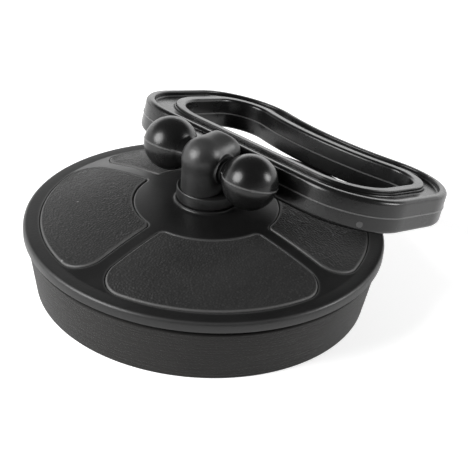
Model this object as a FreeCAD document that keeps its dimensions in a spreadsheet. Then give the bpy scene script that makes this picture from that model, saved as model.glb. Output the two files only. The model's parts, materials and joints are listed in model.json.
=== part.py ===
import FreeCAD, Part
import math
import os
import re

import Sketcher

# Sink plunger: a domed pressure plate on a sponge-rubber bell ring, with a turning stem in the
# plate's collar and a loop handle that folds on a cross pin through the stem's elbow.
#
# Frame: origin on the floor at the middle of the bell's mouth, +Z up the stem, the cross pin
# along X, and the folded loop reaching out towards +Y.  Millimetres.

SIZES = (
    # pressure plate
    ("plate_radius", 75.0, "outer radius of the pressure plate"),
    ("rim_top", 29.0, "height of the flat land along the plate's rim"),
    ("rim_depth", 4.3, "height of the plate's edge band"),
    ("rim_round", 1.5, "rounding of the plate's upper edge"),
    ("dome_height", 39.4, "height of the dome where it would cross the stem's axis"),
    ("dome_radius", 234.0, "radius of curvature of the dome"),
    ("plate_wall", 3.6, "wall of the dome"),
    ("seat_width", 17.0, "width of the flat under the rim that the bell ring is bonded to"),
    ("boss_radius", 13.0, "radius of the boss under the dome"),
    ("boss_depth", 5.5, "depth of the boss below the dome's underside"),
    ("collar_top", 40.2, "height of the low collar that the stem turns on"),
    ("collar_radius", 13.1, "outer radius of the collar at its top"),
    ("collar_foot_radius", 14.4, "radius where the collar's flare meets the dome"),
    ("collar_flare", 3.0, "radius of the hollow flare round the collar"),
    ("spoke_thickness", 2.4, "thickness of the stiffening spokes under the dome"),
    ("spoke_drop", 5.0, "depth of the spokes at the rim, below the dome's middle surface"),
    ("spoke_lap", 1.0, "how far a spoke runs into the boss and into the rim"),
    # grip panels let into the dome
    ("panel_inner_radius", 30.4, "radius of the panels' inner edge"),
    ("panel_outer_radius", 68.0, "radius of the panels' outer edge"),
    ("rib_width", 6.5, "width of the plain rib between two panels"),
    ("panel_outer_round", 10.0, "rounding of the panels' outer corners"),
    ("panel_inner_round", 2.5, "rounding of the panels' inner corners"),
    ("panel_depth", 1.2, "depth of the recess that a panel lies in"),
    ("panel_proud", 0.3, "how far a panel stands above the dome"),
    ("panel_gap", 0.2, "gap between a panel and its recess"),
    ("panel_clocking", 2.2, "turn of the ribs from the X and Y axes, degrees"),
    # bell ring
    ("ring_inset", 1.6, "how far the ring's top stands in from the plate's edge"),
    ("ring_foot_inset", 5.3, "how far the ring's foot stands in from the plate's edge"),
    ("ring_bore_inset", 15.0, "how far the ring's bore stands in from the plate's edge"),
    ("neck_height", 1.0, "height of the shadow groove under the plate"),
    ("neck_inset", 1.8, "depth of the shadow groove"),
    # stem
    ("disc_radius", 12.7, "radius of the disc at the stem's foot"),
    ("disc_top", 45.7, "height of the disc's upper face"),
    ("post_radius", 8.7, "radius of the post"),
    ("post_inset", 0.3, "how far the front of the post stands in from the disc's edge"),
    ("post_lap", 1.0, "how far the post runs down into the disc"),
    ("bend_rise", 3.0, "height of the middle of the elbow's bend above the cross pin"),
    ("arm_radius", 7.2, "radius of the elbow's arm"),
    ("arm_rise", 4.3, "height of the arm's axis above the cross pin"),
    ("arm_reach", 4.3, "distance from the stem's axis to the middle of the arm's round end"),
    ("hub_radius", 6.2, "radius of the hub round the cross pin"),
    ("hub_half", 9.5, "half the length of the hub"),
    ("hinge_height", 56.4, "height of the cross pin"),
    ("spigot_radius", 6.5, "radius of the stem inside the collar"),
    ("running_gap", 0.05, "radial clearance of the turning fits"),
    ("end_gap", 0.15, "play along the axis of the turning fits"),
    ("fit_gap", 0.02, "radial clearance of the fixed fits"),
    ("swivel_washer_thickness", 0.5, "washer between the stem's disc and the collar"),
    ("swivel_washer_inset", 0.6, "how far that washer stands in from the disc's edge"),
    ("seal_section", 1.8, "diameter of the seal ring's section"),
    ("seal_rise", 1.9, "height of the seal above half way from the rim to the collar's top"),
    ("retainer_radius", 11.0, "radius of the washer that holds the stem from below"),
    ("retainer_thickness", 1.5, "thickness of that washer"),
    ("screw_radius", 2.5, "radius of the screw up the stem"),
    ("screw_length", 14.0, "length of the screw under its head"),
    ("screw_head_radius", 4.8, "radius of the screw's head"),
    ("screw_head_height", 3.0, "height of the screw's head"),
    ("socket_radius", 2.3, "corner radius of the screw's six-sided socket"),
    ("socket_depth", 1.95, "depth of the socket"),
    # hinge
    ("pin_radius", 3.0, "radius of the cross pin"),
    ("pin_tail", 1.35, "how far the pin reaches past a bush"),
    ("pin_chamfer", 0.6, "chamfer on the ends of the pin"),
    ("pivot_washer_radius", 5.0, "radius of the washers beside the hub"),
    ("pivot_washer_thickness", 1.0, "thickness of those washers"),
    ("bush_wall", 1.2, "wall of the bushes in the handle's ball knuckles"),
    ("bush_length", 9.0, "length of the bushes"),
    # loop handle
    ("loop_droop", 14.5, "droop of the folded loop below level, degrees"),
    ("loop_length", 139.0, "length of the loop along X"),
    ("loop_width", 81.0, "width of the loop from its straight side to its lobes"),
    ("loop_setback", 13.5, "distance from the cross pin to the loop's straight side"),
    ("loop_thickness", 14.0, "height of the loop's walls"),
    ("corner_round", 29.0, "outer rounding of the loop's corners and lobes"),
    ("waist_depth", 6.5, "depth of the waist between the two lobes"),
    ("outer_flange", 3.6, "thickness of the loop's outer wall"),
    ("groove_width", 6.6, "width of the groove between the loop's walls"),
    ("inner_flange", 5.0, "thickness of the loop's inner wall"),
    ("web_thickness", 9.0, "thickness of the web between the loop's walls"),
    ("ball_radius", 11.3, "radius of the ball knuckles"),
    ("ball_offset", 22.3, "distance from the stem's axis to a knuckle's centre"),
    ("ear_span", 49.0, "length along X of the ear that joins the knuckles to the loop"),
    ("ear_thickness", 11.0, "thickness of the ear"),
    ("stem_gap", 0.4, "gap between the stem and the knuckles' lugs beside it"),
)

PANEL_NAMES = ("grip_panel_right", "grip_panel_rear", "grip_panel_left", "grip_panel_front")
SPOKE_COUNT = 8
FUNCTION_NAMES = ("sqrt", "cos", "sin", "tan")

DOME_CENTRE = "(dome_height - dome_radius)"
COLLAR_FOOT = "(dome_height - dome_radius + sqrt(dome_radius^2 - collar_foot_radius^2))"
LAND_RADIUS = "(sqrt(dome_radius^2 - (dome_radius - dome_height + rim_top)^2))"
UNDER_DOME = "(dome_height - dome_radius + sqrt((dome_radius - plate_wall)^2 - {0}^2))"
MID_DOME = "(dome_height - dome_radius + sqrt((dome_radius - plate_wall / 2)^2 - {0}^2))"
BOSS_FACE = "(dome_height - plate_wall - boss_depth)"
RIM_UNDERSIDE = "(rim_top - rim_depth)"
SEAT_RADIUS = "(plate_radius - seat_width)"
SPIGOT_END = "(dome_height - plate_wall - boss_depth - end_gap)"
SHOULDER = "(collar_top + swivel_washer_thickness + end_gap)"
SEAL_HEIGHT = "((collar_top + rim_top) / 2 + seal_rise)"
POST_SETTING = "(post_radius + post_inset - disc_radius)"
WASHER_FAR = "(hub_half + pivot_washer_thickness)"
KNUCKLE_FACE = "(hub_half + pivot_washer_thickness + end_gap)"
PIN_REACH = "(hub_half + pivot_washer_thickness + end_gap + bush_length + pin_tail)"
WAIST_RADIUS = ("(((loop_length / 2 - corner_round)^2 + (corner_round - waist_depth)^2"
                " - corner_round^2) / (2 * waist_depth))")

doc = FreeCAD.newDocument("sink_plunger")
sheet = doc.addObject("Spreadsheet::Sheet", "Sizes")


def fill_sheet():
    """Write every driving dimension into the sheet, with its name and its meaning."""
    for row, (name, value, meaning) in enumerate(SIZES, start=1):
        sheet.set("A%d" % row, name)
        sheet.set("B%d" % row, str(value))
        sheet.setAlias("B%d" % row, name)
        sheet.set("C%d" % row, meaning)
    doc.recompute()


def linked(text):
    """Turn the plain names of a formula into references to the sheet."""
    def refer(match):
        word = match.group()
        return word if word in FUNCTION_NAMES else "Sizes." + word
    return re.sub(r"[a-z][a-z_]+", refer, text)


def size(text):
    """The present value of a formula of sheet names."""
    return float(sheet.evalExpression(linked(text)))


def bind(item, **formulas):
    """Drive properties of a document object by formulas of sheet names."""
    for name, text in formulas.items():
        item.setExpression(name, linked(text))


def place(item, x="0", y="0", z="0", axis=(0, 0, 1), angle=None):
    """Give an object a placement that follows the sheet."""
    turn = FreeCAD.Rotation(FreeCAD.Vector(*axis), size(angle) if angle else 0.0)
    item.Placement = FreeCAD.Placement(FreeCAD.Vector(size(x), size(y), size(z)), turn)
    for letter, text in (("x", x), ("y", y), ("z", z)):
        if text != "0":
            item.setExpression("Placement.Base." + letter, linked(text))
    if angle:
        item.setExpression("Placement.Rotation.Angle", linked(angle))


def new_body(label):
    """An empty PartDesign body with its label."""
    body = doc.addObject("PartDesign::Body", label)
    body.Label = label
    return body


def origin_plane(body, role):
    """One of the body's own origin planes, found by its role."""
    return next(item for item in body.Origin.OriginFeatures if item.Role == role)


def body_sketch(body, name, role):
    """A sketch of the body, lying on one of its origin planes."""
    sketch = body.newObject("Sketcher::SketchObject", name)
    sketch.AttachmentSupport = [(origin_plane(body, role), "")]
    sketch.MapMode = "FlatFace"
    return sketch


def drive_coordinate(sketch, kind, edge, end, text):
    """Hold one coordinate of an edge's end at the value of a formula."""
    if text == "0":
        axis = -2 if kind == "DistanceX" else -1
        sketch.addConstraint(Sketcher.Constraint("PointOnObject", edge, end, axis))
        return
    number = sketch.addConstraint(Sketcher.Constraint(kind, -1, 1, edge, end, size(text)))
    sketch.setExpression("Constraints[%d]" % number, linked(text))


def drive_radius(sketch, edge, text):
    """Hold an arc's radius at the value of a formula."""
    number = sketch.addConstraint(Sketcher.Constraint("Radius", edge, size(text)))
    sketch.setExpression("Constraints[%d]" % number, linked(text))


def arc_through(start, end, radius, left):
    """A circular arc from start to end that bulges to the left or right of the way."""
    chord = end - start
    middle = (start + end) * 0.5
    side = FreeCAD.Vector(-chord.y, chord.x, 0).normalize() * (1 if left else -1)
    sagitta = radius - math.sqrt(radius ** 2 - chord.Length ** 2 / 4)
    return Part.Arc(start, middle + side * sagitta, end)


def draw_outline(sketch, corners):
    """Draw a closed outline, besides whatever the sketch already holds.

    Each corner is (x, y) or (x, y, radius, bulges_left), all formulas: the last two turn the edge
    from that corner to the next into an arc.
    """
    first = sketch.GeometryCount
    points = [FreeCAD.Vector(size(corner[0]), size(corner[1]), 0) for corner in corners]
    starts = []
    for number, corner in enumerate(corners):
        start = points[number]
        end = points[(number + 1) % len(points)]
        if len(corner) == 2:
            sketch.addGeometry(Part.LineSegment(start, end))
            starts.append(1)
        else:
            sketch.addGeometry(arc_through(start, end, size(corner[2]), corner[3]))
            starts.append(2 if corner[3] else 1)
    for number, corner in enumerate(corners):
        following = (number + 1) % len(corners)
        edge = first + number
        sketch.addConstraint(Sketcher.Constraint("Coincident", edge, 3 - starts[number],
                                                 first + following, starts[following]))
        drive_coordinate(sketch, "DistanceX", edge, starts[number], corner[0])
        drive_coordinate(sketch, "DistanceY", edge, starts[number], corner[1])
        if len(corner) == 4:
            drive_radius(sketch, edge, corner[2])


def turned(body, name, corners, about="V_Axis"):
    """Turn an outline of the XZ plane about its upright or its level axis."""
    sketch = body_sketch(body, name + "_outline", "XZ_Plane")
    draw_outline(sketch, corners)
    solid = body.newObject("PartDesign::Revolution", name)
    solid.Profile = sketch
    solid.ReferenceAxis = (sketch, [about])
    solid.Angle = 360


def box_outline(low_x, low_y, high_x, high_y):
    """The four corners of an upright rectangle."""
    return [(low_x, low_y), (high_x, low_y), (high_x, high_y), (low_x, high_y)]


def primitive(body, kind, name, **formulas):
    """An additive or subtractive primitive of a body, with its sizes bound."""
    item = body.newObject("PartDesign::" + kind, name)
    bind(item, **formulas)
    return item


def volume(item):
    """Volume after a recompute, to see that a cut has really cut."""
    doc.recompute()
    return item.Shape.Volume


def expect_less(item, before, what):
    """Stop when a cut has removed nothing."""
    if volume(item) >= before - 0.01:
        raise RuntimeError("no material removed by " + what)


def bore_along_x(body, name, radius, start, length, height="0"):
    """Cut a round hole along X, from start towards +X, at a height in the body."""
    before = volume(body)
    hole = primitive(body, "SubtractiveCylinder", name, Radius=radius, Height=length)
    place(hole, x=start, z=height, axis=(0, 1, 0), angle="90")
    expect_less(body, before, name)


# ---------------------------------------------------------------- bell ring

def make_sealing_ring():
    """Sponge-rubber wall of the bell, bonded under the plate's rim, with a shadow groove."""
    body = new_body("sealing_ring")
    top = "plate_radius - ring_inset"
    neck = "plate_radius - ring_inset - neck_inset"
    bore = "plate_radius - ring_bore_inset"
    turned(body, "wall", [
        (bore, "0"),
        ("plate_radius - ring_foot_inset", "0"),
        (top, RIM_UNDERSIDE + " - neck_height"),
        (neck, RIM_UNDERSIDE + " - neck_height"),
        (neck, RIM_UNDERSIDE),
        (bore, RIM_UNDERSIDE),
    ])


# ---------------------------------------------------------------- pressure plate

def panel_corner(radius, corner, outer, clearance):
    """Where a panel's corner rounding touches its side and its round edge, as formulas."""
    sign = "-" if outer else "+"
    side = "(rib_width / 2 - %s)" % clearance
    across = "(%s + %s)" % (side, corner)
    reach = "(%s %s %s)" % (radius, sign, corner)
    along = "sqrt(%s^2 - %s^2)" % (reach, across)
    share = "%s / %s" % (radius, reach)
    return (along, side), (along + " * " + share, across + " * " + share)


def panel_outline(clearance):
    """Corners of one panel in the first quarter, grown by a clearance."""
    outer_radius = "(panel_outer_radius + %s)" % clearance
    inner_radius = "(panel_inner_radius - %s)" % clearance
    outer_round = "(panel_outer_round + %s)" % clearance
    inner_round = "(panel_inner_round + %s)" % clearance
    inner_side, inner_edge = panel_corner(inner_radius, inner_round, False, clearance)
    outer_side, outer_edge = panel_corner(outer_radius, outer_round, True, clearance)
    return [
        inner_side,
        outer_side + (outer_round, False),
        outer_edge + (outer_radius, False),
        outer_edge[::-1] + (outer_round, False),
        outer_side[::-1],
        inner_side[::-1] + (inner_round, False),
        inner_edge[::-1] + (inner_radius, True),
        inner_edge + (inner_round, False),
    ]


def panel_prism(name, clearance, quarter):
    """An upright prism over one panel's outline."""
    sketch = doc.addObject("Sketcher::SketchObject", name + "_outline")
    draw_outline(sketch, panel_outline(clearance))
    place(sketch, angle="panel_clocking + %d" % (90 * quarter))
    prism = doc.addObject("Part::Extrusion", name + "_prism")
    prism.Base = sketch
    prism.DirMode = "Normal"
    prism.Solid = True
    bind(prism, LengthFwd="dome_height + panel_outer_radius")
    return prism


def dome_ball(name, offset):
    """The whole ball that the dome is a cap of, grown by an offset."""
    ball = doc.addObject("Part::Sphere", name)
    bind(ball, Radius="dome_radius + " + offset)
    place(ball, z=DOME_CENTRE)
    return ball


def boolean(kind, name, base, tool):
    """A Part::Cut or Part::Common of two objects."""
    item = doc.addObject("Part::" + kind, name)
    item.Base = base
    item.Tool = tool
    return item


def plate_casting():
    """The plate before its panel recesses: dome, rim, collar, boss and spokes."""
    body = new_body("plate_casting")
    bore = "spigot_radius + running_gap"
    turned(body, "dome", [
        (bore, BOSS_FACE),
        ("boss_radius", BOSS_FACE),
        ("boss_radius", UNDER_DOME.format("boss_radius"), "dome_radius - plate_wall", True),
        (SEAT_RADIUS, UNDER_DOME.format(SEAT_RADIUS)),
        (SEAT_RADIUS, RIM_UNDERSIDE),
        ("plate_radius", RIM_UNDERSIDE),
        ("plate_radius", "rim_top - rim_round", "rim_round", False),
        ("plate_radius - rim_round", "rim_top"),
        (LAND_RADIUS, "rim_top", "dome_radius", False),
        ("collar_foot_radius", COLLAR_FOOT, "collar_flare", True),
        ("collar_radius", "collar_top"),
        (bore, "collar_top"),
    ])
    add_spokes(body)
    return body


def add_spokes(body):
    """Upright stiffening spokes under the dome, from the boss to the rim."""
    sketch = body_sketch(body, "spoke_outline", "XZ_Plane")
    inner = "(boss_radius - spoke_lap)"
    outer = "(" + SEAT_RADIUS + " + spoke_lap)"
    draw_outline(sketch, [
        (inner, BOSS_FACE + " + spoke_lap"),
        (outer, MID_DOME.format(outer) + " - spoke_drop"),
        (outer, MID_DOME.format(outer)),
        (inner, MID_DOME.format(inner)),
    ])
    spoke = body.newObject("PartDesign::Pad", "spoke")
    spoke.Profile = sketch
    spoke.SideType = "Symmetric"
    bind(spoke, Length="spoke_thickness")
    spokes = body.newObject("PartDesign::PolarPattern", "spokes")
    spokes.Originals = [spoke]
    spokes.Axis = (sketch, ["V_Axis"])
    spokes.Angle = 360
    spokes.Occurrences = SPOKE_COUNT
    body.Tip = spokes


def make_pressure_plate():
    """The plate with a recess for each grip panel."""
    plate = plate_casting()
    for quarter in range(len(PANEL_NAMES)):
        prism = panel_prism("recess_%d" % quarter, "panel_gap", quarter)
        tool = boolean("Cut", "recess_tool_%d" % quarter, prism,
                       dome_ball("recess_floor_%d" % quarter, "0 - panel_depth"))
        plate = boolean("Cut", "recessed_plate_%d" % quarter, plate, tool)
    plate.Label = "pressure_plate"


def make_grip_panels():
    """Four grip panels, each a curved slab that lies in its recess."""
    for quarter, label in enumerate(PANEL_NAMES):
        prism = panel_prism(label, "0", quarter)
        slab = boolean("Common", label + "_slab", prism, dome_ball(label + "_top", "panel_proud"))
        panel = boolean("Cut", label, slab, dome_ball(label + "_floor", "fit_gap - panel_depth"))
        panel.Label = label


# ---------------------------------------------------------------- stem

def make_stem():
    """Spigot through the collar, disc, and a post that bends into a short arm, in one moulding."""
    body = new_body("stem")
    groove_floor = "spigot_radius - seal_section - fit_gap"
    groove_half = "(seal_section / 2 + fit_gap)"
    hole_top = SPIGOT_END + " + screw_length"
    turned(body, "foot", [
        ("screw_radius + fit_gap", SPIGOT_END),
        ("spigot_radius", SPIGOT_END),
        ("spigot_radius", SEAL_HEIGHT + " - " + groove_half),
        (groove_floor, SEAL_HEIGHT + " - " + groove_half),
        (groove_floor, SEAL_HEIGHT + " + " + groove_half),
        ("spigot_radius", SEAL_HEIGHT + " + " + groove_half),
        ("spigot_radius", SHOULDER),
        ("disc_radius", SHOULDER),
        ("disc_radius", "disc_top"),
        ("0", "disc_top"),
        ("0", hole_top),
        ("screw_radius + fit_gap", hole_top),
    ])
    add_elbow(body)
    bore_along_x(body, "pin_hole", "pin_radius + fit_gap", "0 - 2 * hub_half", "4 * hub_half",
                 "hinge_height")


def add_elbow(body):
    """Post on the disc, round bend, arm with its round end, and the hub round the cross pin."""
    bend_height = "hinge_height + bend_rise"
    arm_height = "hinge_height + arm_rise"
    post = primitive(body, "AdditiveCylinder", "post", Radius="post_radius",
                     Height=bend_height + " - disc_top + post_lap")
    place(post, y=POST_SETTING, z="disc_top - post_lap")
    bend = primitive(body, "AdditiveSphere", "bend", Radius="post_radius")
    place(bend, y=POST_SETTING, z=bend_height)
    arm = primitive(body, "AdditiveCylinder", "arm", Radius="arm_radius",
                    Height="arm_reach - " + POST_SETTING)
    place(arm, y=POST_SETTING, z=arm_height, axis=(1, 0, 0), angle="0 - 90")
    end = primitive(body, "AdditiveSphere", "arm_end", Radius="arm_radius")
    place(end, y="arm_reach", z=arm_height)
    hub = primitive(body, "AdditiveCylinder", "hub", Radius="hub_radius", Height="2 * hub_half")
    place(hub, x="0 - hub_half", z="hinge_height", axis=(0, 1, 0), angle="90")


def make_swivel_washer():
    """Thin washer that the stem's disc turns on."""
    body = new_body("swivel_washer")
    turned(body, "washer", box_outline("spigot_radius + fit_gap", "collar_top + end_gap",
                                       "disc_radius - swivel_washer_inset", SHOULDER))


def make_stem_seal():
    """Seal ring in the stem's groove."""
    ring = doc.addObject("Part::Torus", "stem_seal")
    ring.Label = "stem_seal"
    bind(ring, Radius1="spigot_radius - seal_section / 2", Radius2="seal_section / 2")
    place(ring, z=SEAL_HEIGHT)


def make_retaining_washer():
    """Washer against the spigot's end, wider than the collar's bore."""
    body = new_body("retaining_washer")
    turned(body, "washer", box_outline("screw_radius + fit_gap", SPIGOT_END + " - retainer_thickness",
                                       "retainer_radius", SPIGOT_END))


def make_retaining_screw():
    """Socket screw up the stem, with its head under the washer."""
    body = new_body("retaining_screw")
    seat = SPIGOT_END + " - retainer_thickness"
    turned(body, "screw", [
        ("0", seat + " - screw_head_height"),
        ("screw_head_radius", seat + " - screw_head_height"),
        ("screw_head_radius", seat),
        ("screw_radius", seat),
        ("screw_radius", seat + " + screw_length"),
        ("0", seat + " + screw_length"),
    ])
    before = volume(body)
    socket = primitive(body, "SubtractivePrism", "socket", Circumradius="socket_radius",
                       Height="2 * socket_depth")
    socket.Polygon = 6
    place(socket, z=seat + " - screw_head_height - socket_depth")
    expect_less(body, before, "socket")


# ---------------------------------------------------------------- hinge

def on_hinge(item):
    """Lift an object from the origin to the cross pin's height."""
    place(item, z="hinge_height")


def make_cross_pin():
    """Steel pin through the stem's hub, with both ends in the knuckles."""
    body = new_body("cross_pin")
    turned(body, "pin", [
        ("0 - " + PIN_REACH, "0"),
        (PIN_REACH, "0"),
        (PIN_REACH, "pin_radius - pin_chamfer"),
        (PIN_REACH + " - pin_chamfer", "pin_radius"),
        ("0 - " + PIN_REACH + " + pin_chamfer", "pin_radius"),
        ("0 - " + PIN_REACH, "pin_radius - pin_chamfer"),
    ], about="H_Axis")
    on_hinge(body)


def hinge_pair(label, corners):
    """Two equal turned pieces on the pin, one on each side of the hub."""
    body = new_body(label + "_right")
    turned(body, label + "_turned", corners, about="H_Axis")
    on_hinge(body)
    mirror = doc.addObject("Part::Mirroring", label + "_left")
    mirror.Source = body
    mirror.Normal = FreeCAD.Vector(1, 0, 0)
    pair = doc.addObject("Part::Compound", label)
    pair.Links = [body, mirror]
    pair.Label = label


def make_pivot_washers():
    """Washers that keep the knuckles off the hub."""
    hinge_pair("pivot_washers",
               box_outline("hub_half", "pin_radius + fit_gap", WASHER_FAR, "pivot_washer_radius"))


def make_pivot_bushes():
    """Bushes in the knuckles, running on the pin's ends."""
    hinge_pair("pivot_bushes",
               box_outline(KNUCKLE_FACE, "pin_radius + running_gap",
                           KNUCKLE_FACE + " + bush_length", "pin_radius + bush_wall"))


# ---------------------------------------------------------------- loop handle

def loop_corners(inset):
    """Outline of the loop set in by a distance: straight side, round ends, waisted far side."""
    half = "(loop_length / 2 - %s)" % inset
    near = "(loop_setback + %s)" % inset
    corner = "(corner_round - %s)" % inset
    near_centre = "(loop_setback + corner_round)"
    far_centre = "(loop_setback + loop_width - corner_round)"
    side_centre = "(loop_length / 2 - corner_round)"
    waist = WAIST_RADIUS
    share = "%s / (corner_round + %s)" % (corner, waist)
    touch_x = "(%s * (1 - %s))" % (side_centre, share)
    touch_y = "(%s + (corner_round - waist_depth + %s) * %s)" % (far_centre, waist, share)
    return [
        ("0 - " + side_centre, near),
        (side_centre, near, corner, False),
        (half, near_centre),
        (half, far_centre, corner, False),
        (touch_x, touch_y, "%s + %s" % (waist, inset), True),
        ("0 - " + touch_x, touch_y, corner, False),
        ("0 - " + half, far_centre),
        ("0 - " + half, near_centre, corner, False),
    ]


def loop_band(body, name, outside, inside, thickness):
    """Pad the band between two insets of the loop's outline, equally up and down."""
    sketch = body_sketch(body, name + "_outline", "XY_Plane")
    draw_outline(sketch, loop_corners(outside))
    draw_outline(sketch, loop_corners(inside))
    band = body.newObject("PartDesign::Pad", name)
    band.Profile = sketch
    band.SideType = "Symmetric"
    bind(band, Length=thickness)


def add_loop_walls(body):
    """Outer wall, web and inner wall, which make an I-section all round the loop."""
    groove_start = "outer_flange"
    groove_end = "(outer_flange + groove_width)"
    opening = "(outer_flange + groove_width + inner_flange)"
    loop_band(body, "outer_wall", "0", groove_start, "loop_thickness")
    loop_band(body, "web", "0", opening, "web_thickness")
    loop_band(body, "inner_wall", groove_end, opening, "loop_thickness")


def add_ear(body):
    """Ear between the knuckles and the loop, before the stem's room is cut out of it."""
    ear = primitive(body, "AdditiveBox", "ear", Length="ear_span",
                    Width="loop_setback + outer_flange / 2", Height="ear_thickness")
    place(ear, x="0 - ear_span / 2", z="0 - ear_thickness / 2")


def clear_stem(body):
    """Cut room for the stem's elbow between the ear's lugs, and for its hub and washers."""
    half = "(post_radius + stem_gap)"
    bore_along_x(body, "elbow_room", "loop_setback", "0 - " + half, "2 * " + half)
    bore_along_x(body, "hub_room", "hub_radius + stem_gap", "0 - " + KNUCKLE_FACE,
                 "2 * " + KNUCKLE_FACE)


def add_knuckle(body, side, sign):
    """One ball knuckle with its face beside the hub and its blind, stepped bore."""
    ball = primitive(body, "AdditiveSphere", side + "_ball", Radius="ball_radius")
    place(ball, x="%d * ball_offset" % sign)
    face = primitive(body, "AdditiveCylinder", side + "_face", Radius="pivot_washer_radius",
                     Height="ball_offset - " + KNUCKLE_FACE)
    place(face, x=KNUCKLE_FACE if sign > 0 else "0 - ball_offset", axis=(0, 1, 0), angle="90")
    steps = (
        ("bush_seat", "pin_radius + bush_wall + fit_gap", KNUCKLE_FACE + " + bush_length"),
        ("pin_end", "pin_radius + running_gap", PIN_REACH + " + end_gap"),
    )
    for name, radius, depth in steps:
        start = "hub_half"
        length = "%s - (%s)" % (depth, start)
        first = start if sign > 0 else "0 - (%s)" % depth
        bore_along_x(body, side + "_" + name, radius, first, length)


def make_loop_handle():
    """Loop of I-section with its two lugs and ball knuckles, in one moulding."""
    body = new_body("loop_handle")
    add_loop_walls(body)
    add_ear(body)
    clear_stem(body)
    add_knuckle(body, "right", 1)
    add_knuckle(body, "left", -1)
    place(body, z="hinge_height", axis=(1, 0, 0), angle="0 - loop_droop")


# ---------------------------------------------------------------- whole model

NODES = (
    "sealing_ring", "pressure_plate") + PANEL_NAMES + (
    "stem", "swivel_washer", "stem_seal", "retaining_washer", "retaining_screw",
    "cross_pin", "pivot_washers", "pivot_bushes", "loop_handle",
)


def check_document():
    """Stop if any feature failed or any sub-part is missing or invalid."""
    doc.recompute()
    for item in doc.Objects:
        if "Invalid" in item.State or "Error" in item.State:
            raise RuntimeError("failed: %s %s" % (item.Label, item.State))
    for label in NODES:
        shape = doc.getObjectsByLabel(label)[0].Shape
        if shape.isNull() or not shape.isValid():
            raise RuntimeError("bad shape: " + label)


def write_parts():
    """Write each sub-part to its own STEP file."""
    os.makedirs("parts", exist_ok=True)
    for label in NODES:
        shape = doc.getObjectsByLabel(label)[0].Shape
        shape.exportStep("parts/%s.step" % label)
        print("%-18s %2d solid %10.1f mm3" % (label, len(shape.Solids), shape.Volume))


def main():
    """Build the plunger from the floor up."""
    fill_sheet()
    make_sealing_ring()
    make_pressure_plate()
    make_grip_panels()
    make_stem()
    make_swivel_washer()
    make_stem_seal()
    make_retaining_washer()
    make_retaining_screw()
    make_cross_pin()
    make_pivot_washers()
    make_pivot_bushes()
    make_loop_handle()
    check_document()
    write_parts()


main()
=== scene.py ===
import json
import logging
import math
from dataclasses import dataclass
from enum import Enum
from typing import Sequence

import bpy
import numpy as np
from mathutils import Matrix, Vector


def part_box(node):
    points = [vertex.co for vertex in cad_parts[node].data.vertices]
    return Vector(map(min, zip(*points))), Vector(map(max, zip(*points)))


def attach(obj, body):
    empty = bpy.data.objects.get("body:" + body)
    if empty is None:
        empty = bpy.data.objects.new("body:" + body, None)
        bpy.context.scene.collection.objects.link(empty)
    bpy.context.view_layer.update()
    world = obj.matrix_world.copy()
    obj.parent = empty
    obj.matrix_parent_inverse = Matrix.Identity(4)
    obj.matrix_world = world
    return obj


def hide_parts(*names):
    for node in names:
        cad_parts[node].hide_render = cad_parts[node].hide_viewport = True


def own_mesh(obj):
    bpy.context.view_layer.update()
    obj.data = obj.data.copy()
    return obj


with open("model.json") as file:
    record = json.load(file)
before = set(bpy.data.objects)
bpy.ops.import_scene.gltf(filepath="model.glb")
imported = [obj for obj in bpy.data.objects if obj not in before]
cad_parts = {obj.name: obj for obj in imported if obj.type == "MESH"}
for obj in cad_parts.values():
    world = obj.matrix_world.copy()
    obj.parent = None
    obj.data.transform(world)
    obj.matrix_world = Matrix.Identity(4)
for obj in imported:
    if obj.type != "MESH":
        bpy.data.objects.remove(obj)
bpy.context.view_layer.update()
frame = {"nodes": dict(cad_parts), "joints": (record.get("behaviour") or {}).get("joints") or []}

# Sink plunger: the visible surfaces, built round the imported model.  Shapes are worked out in
# millimetres in the model's own frame, and go into the meshes in metres.

MILLIMETRE = 0.001
TURN = 2.0 * math.pi
NEARLY_NOTHING = 1e-6
LOG = logging.getLogger("sink_plunger")

Array = np.ndarray
Pair = tuple[float, float]
Triple = tuple[float, float, float]
Colour = tuple[float, float, float, float]


class Body(Enum):
    """The moving bodies of the plunger."""

    BELL = "bell"
    PLATE = "plate"
    STEM = "stem"
    LOOP = "loop"


class Slot(Enum):
    """The record's finishes of the pieces that are built anew."""

    SPONGE = "ring_sponge"
    PLATE = "plate_plastic"
    GRAIN = "panel_grain"
    STEM = "stem_plastic"
    HANDLE = "handle_plastic"


class Paint(Enum):
    """The numbers that are stored on the points of a piece for its material."""

    # Painted highlight: where a piece's colour is lightened to stand in for light caught by lips,
    # edges, seams and tops; the loop's mark is also painted paler here.
    PAINTED_HIGHLIGHT_AND_MARK = "worn_edge"
    PEBBLE = "pebble"


# ---------------------------------------------------------------- surfaces

@dataclass(frozen=True)
class Shell:
    """One closed surface: its points in millimetres, and its faces as blocks of equal length."""

    points: Array
    faces: tuple[Array, ...]

    def volume(self) -> float:
        """Signed volume, a sixth of the sum of a . (b x c) over the faces cut into triangles.

        Returns:
            The volume in cubic millimetres.
        """
        total = 0.0
        for block in self.faces:
            first = self.points[block[:, 0]]
            for corner in range(1, block.shape[1] - 1):
                cross = np.cross(self.points[block[:, corner]], self.points[block[:, corner + 1]])
                total += float((first * cross).sum()) / 6.0
        return total

    def outward(self) -> "Shell":
        """The same surface with its faces pointing outwards.

        Returns:
            This surface, or one with its faces turned over.
        """
        if self.volume() >= 0.0:
            return self
        return Shell(self.points, tuple(block[:, ::-1] for block in self.faces))


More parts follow.
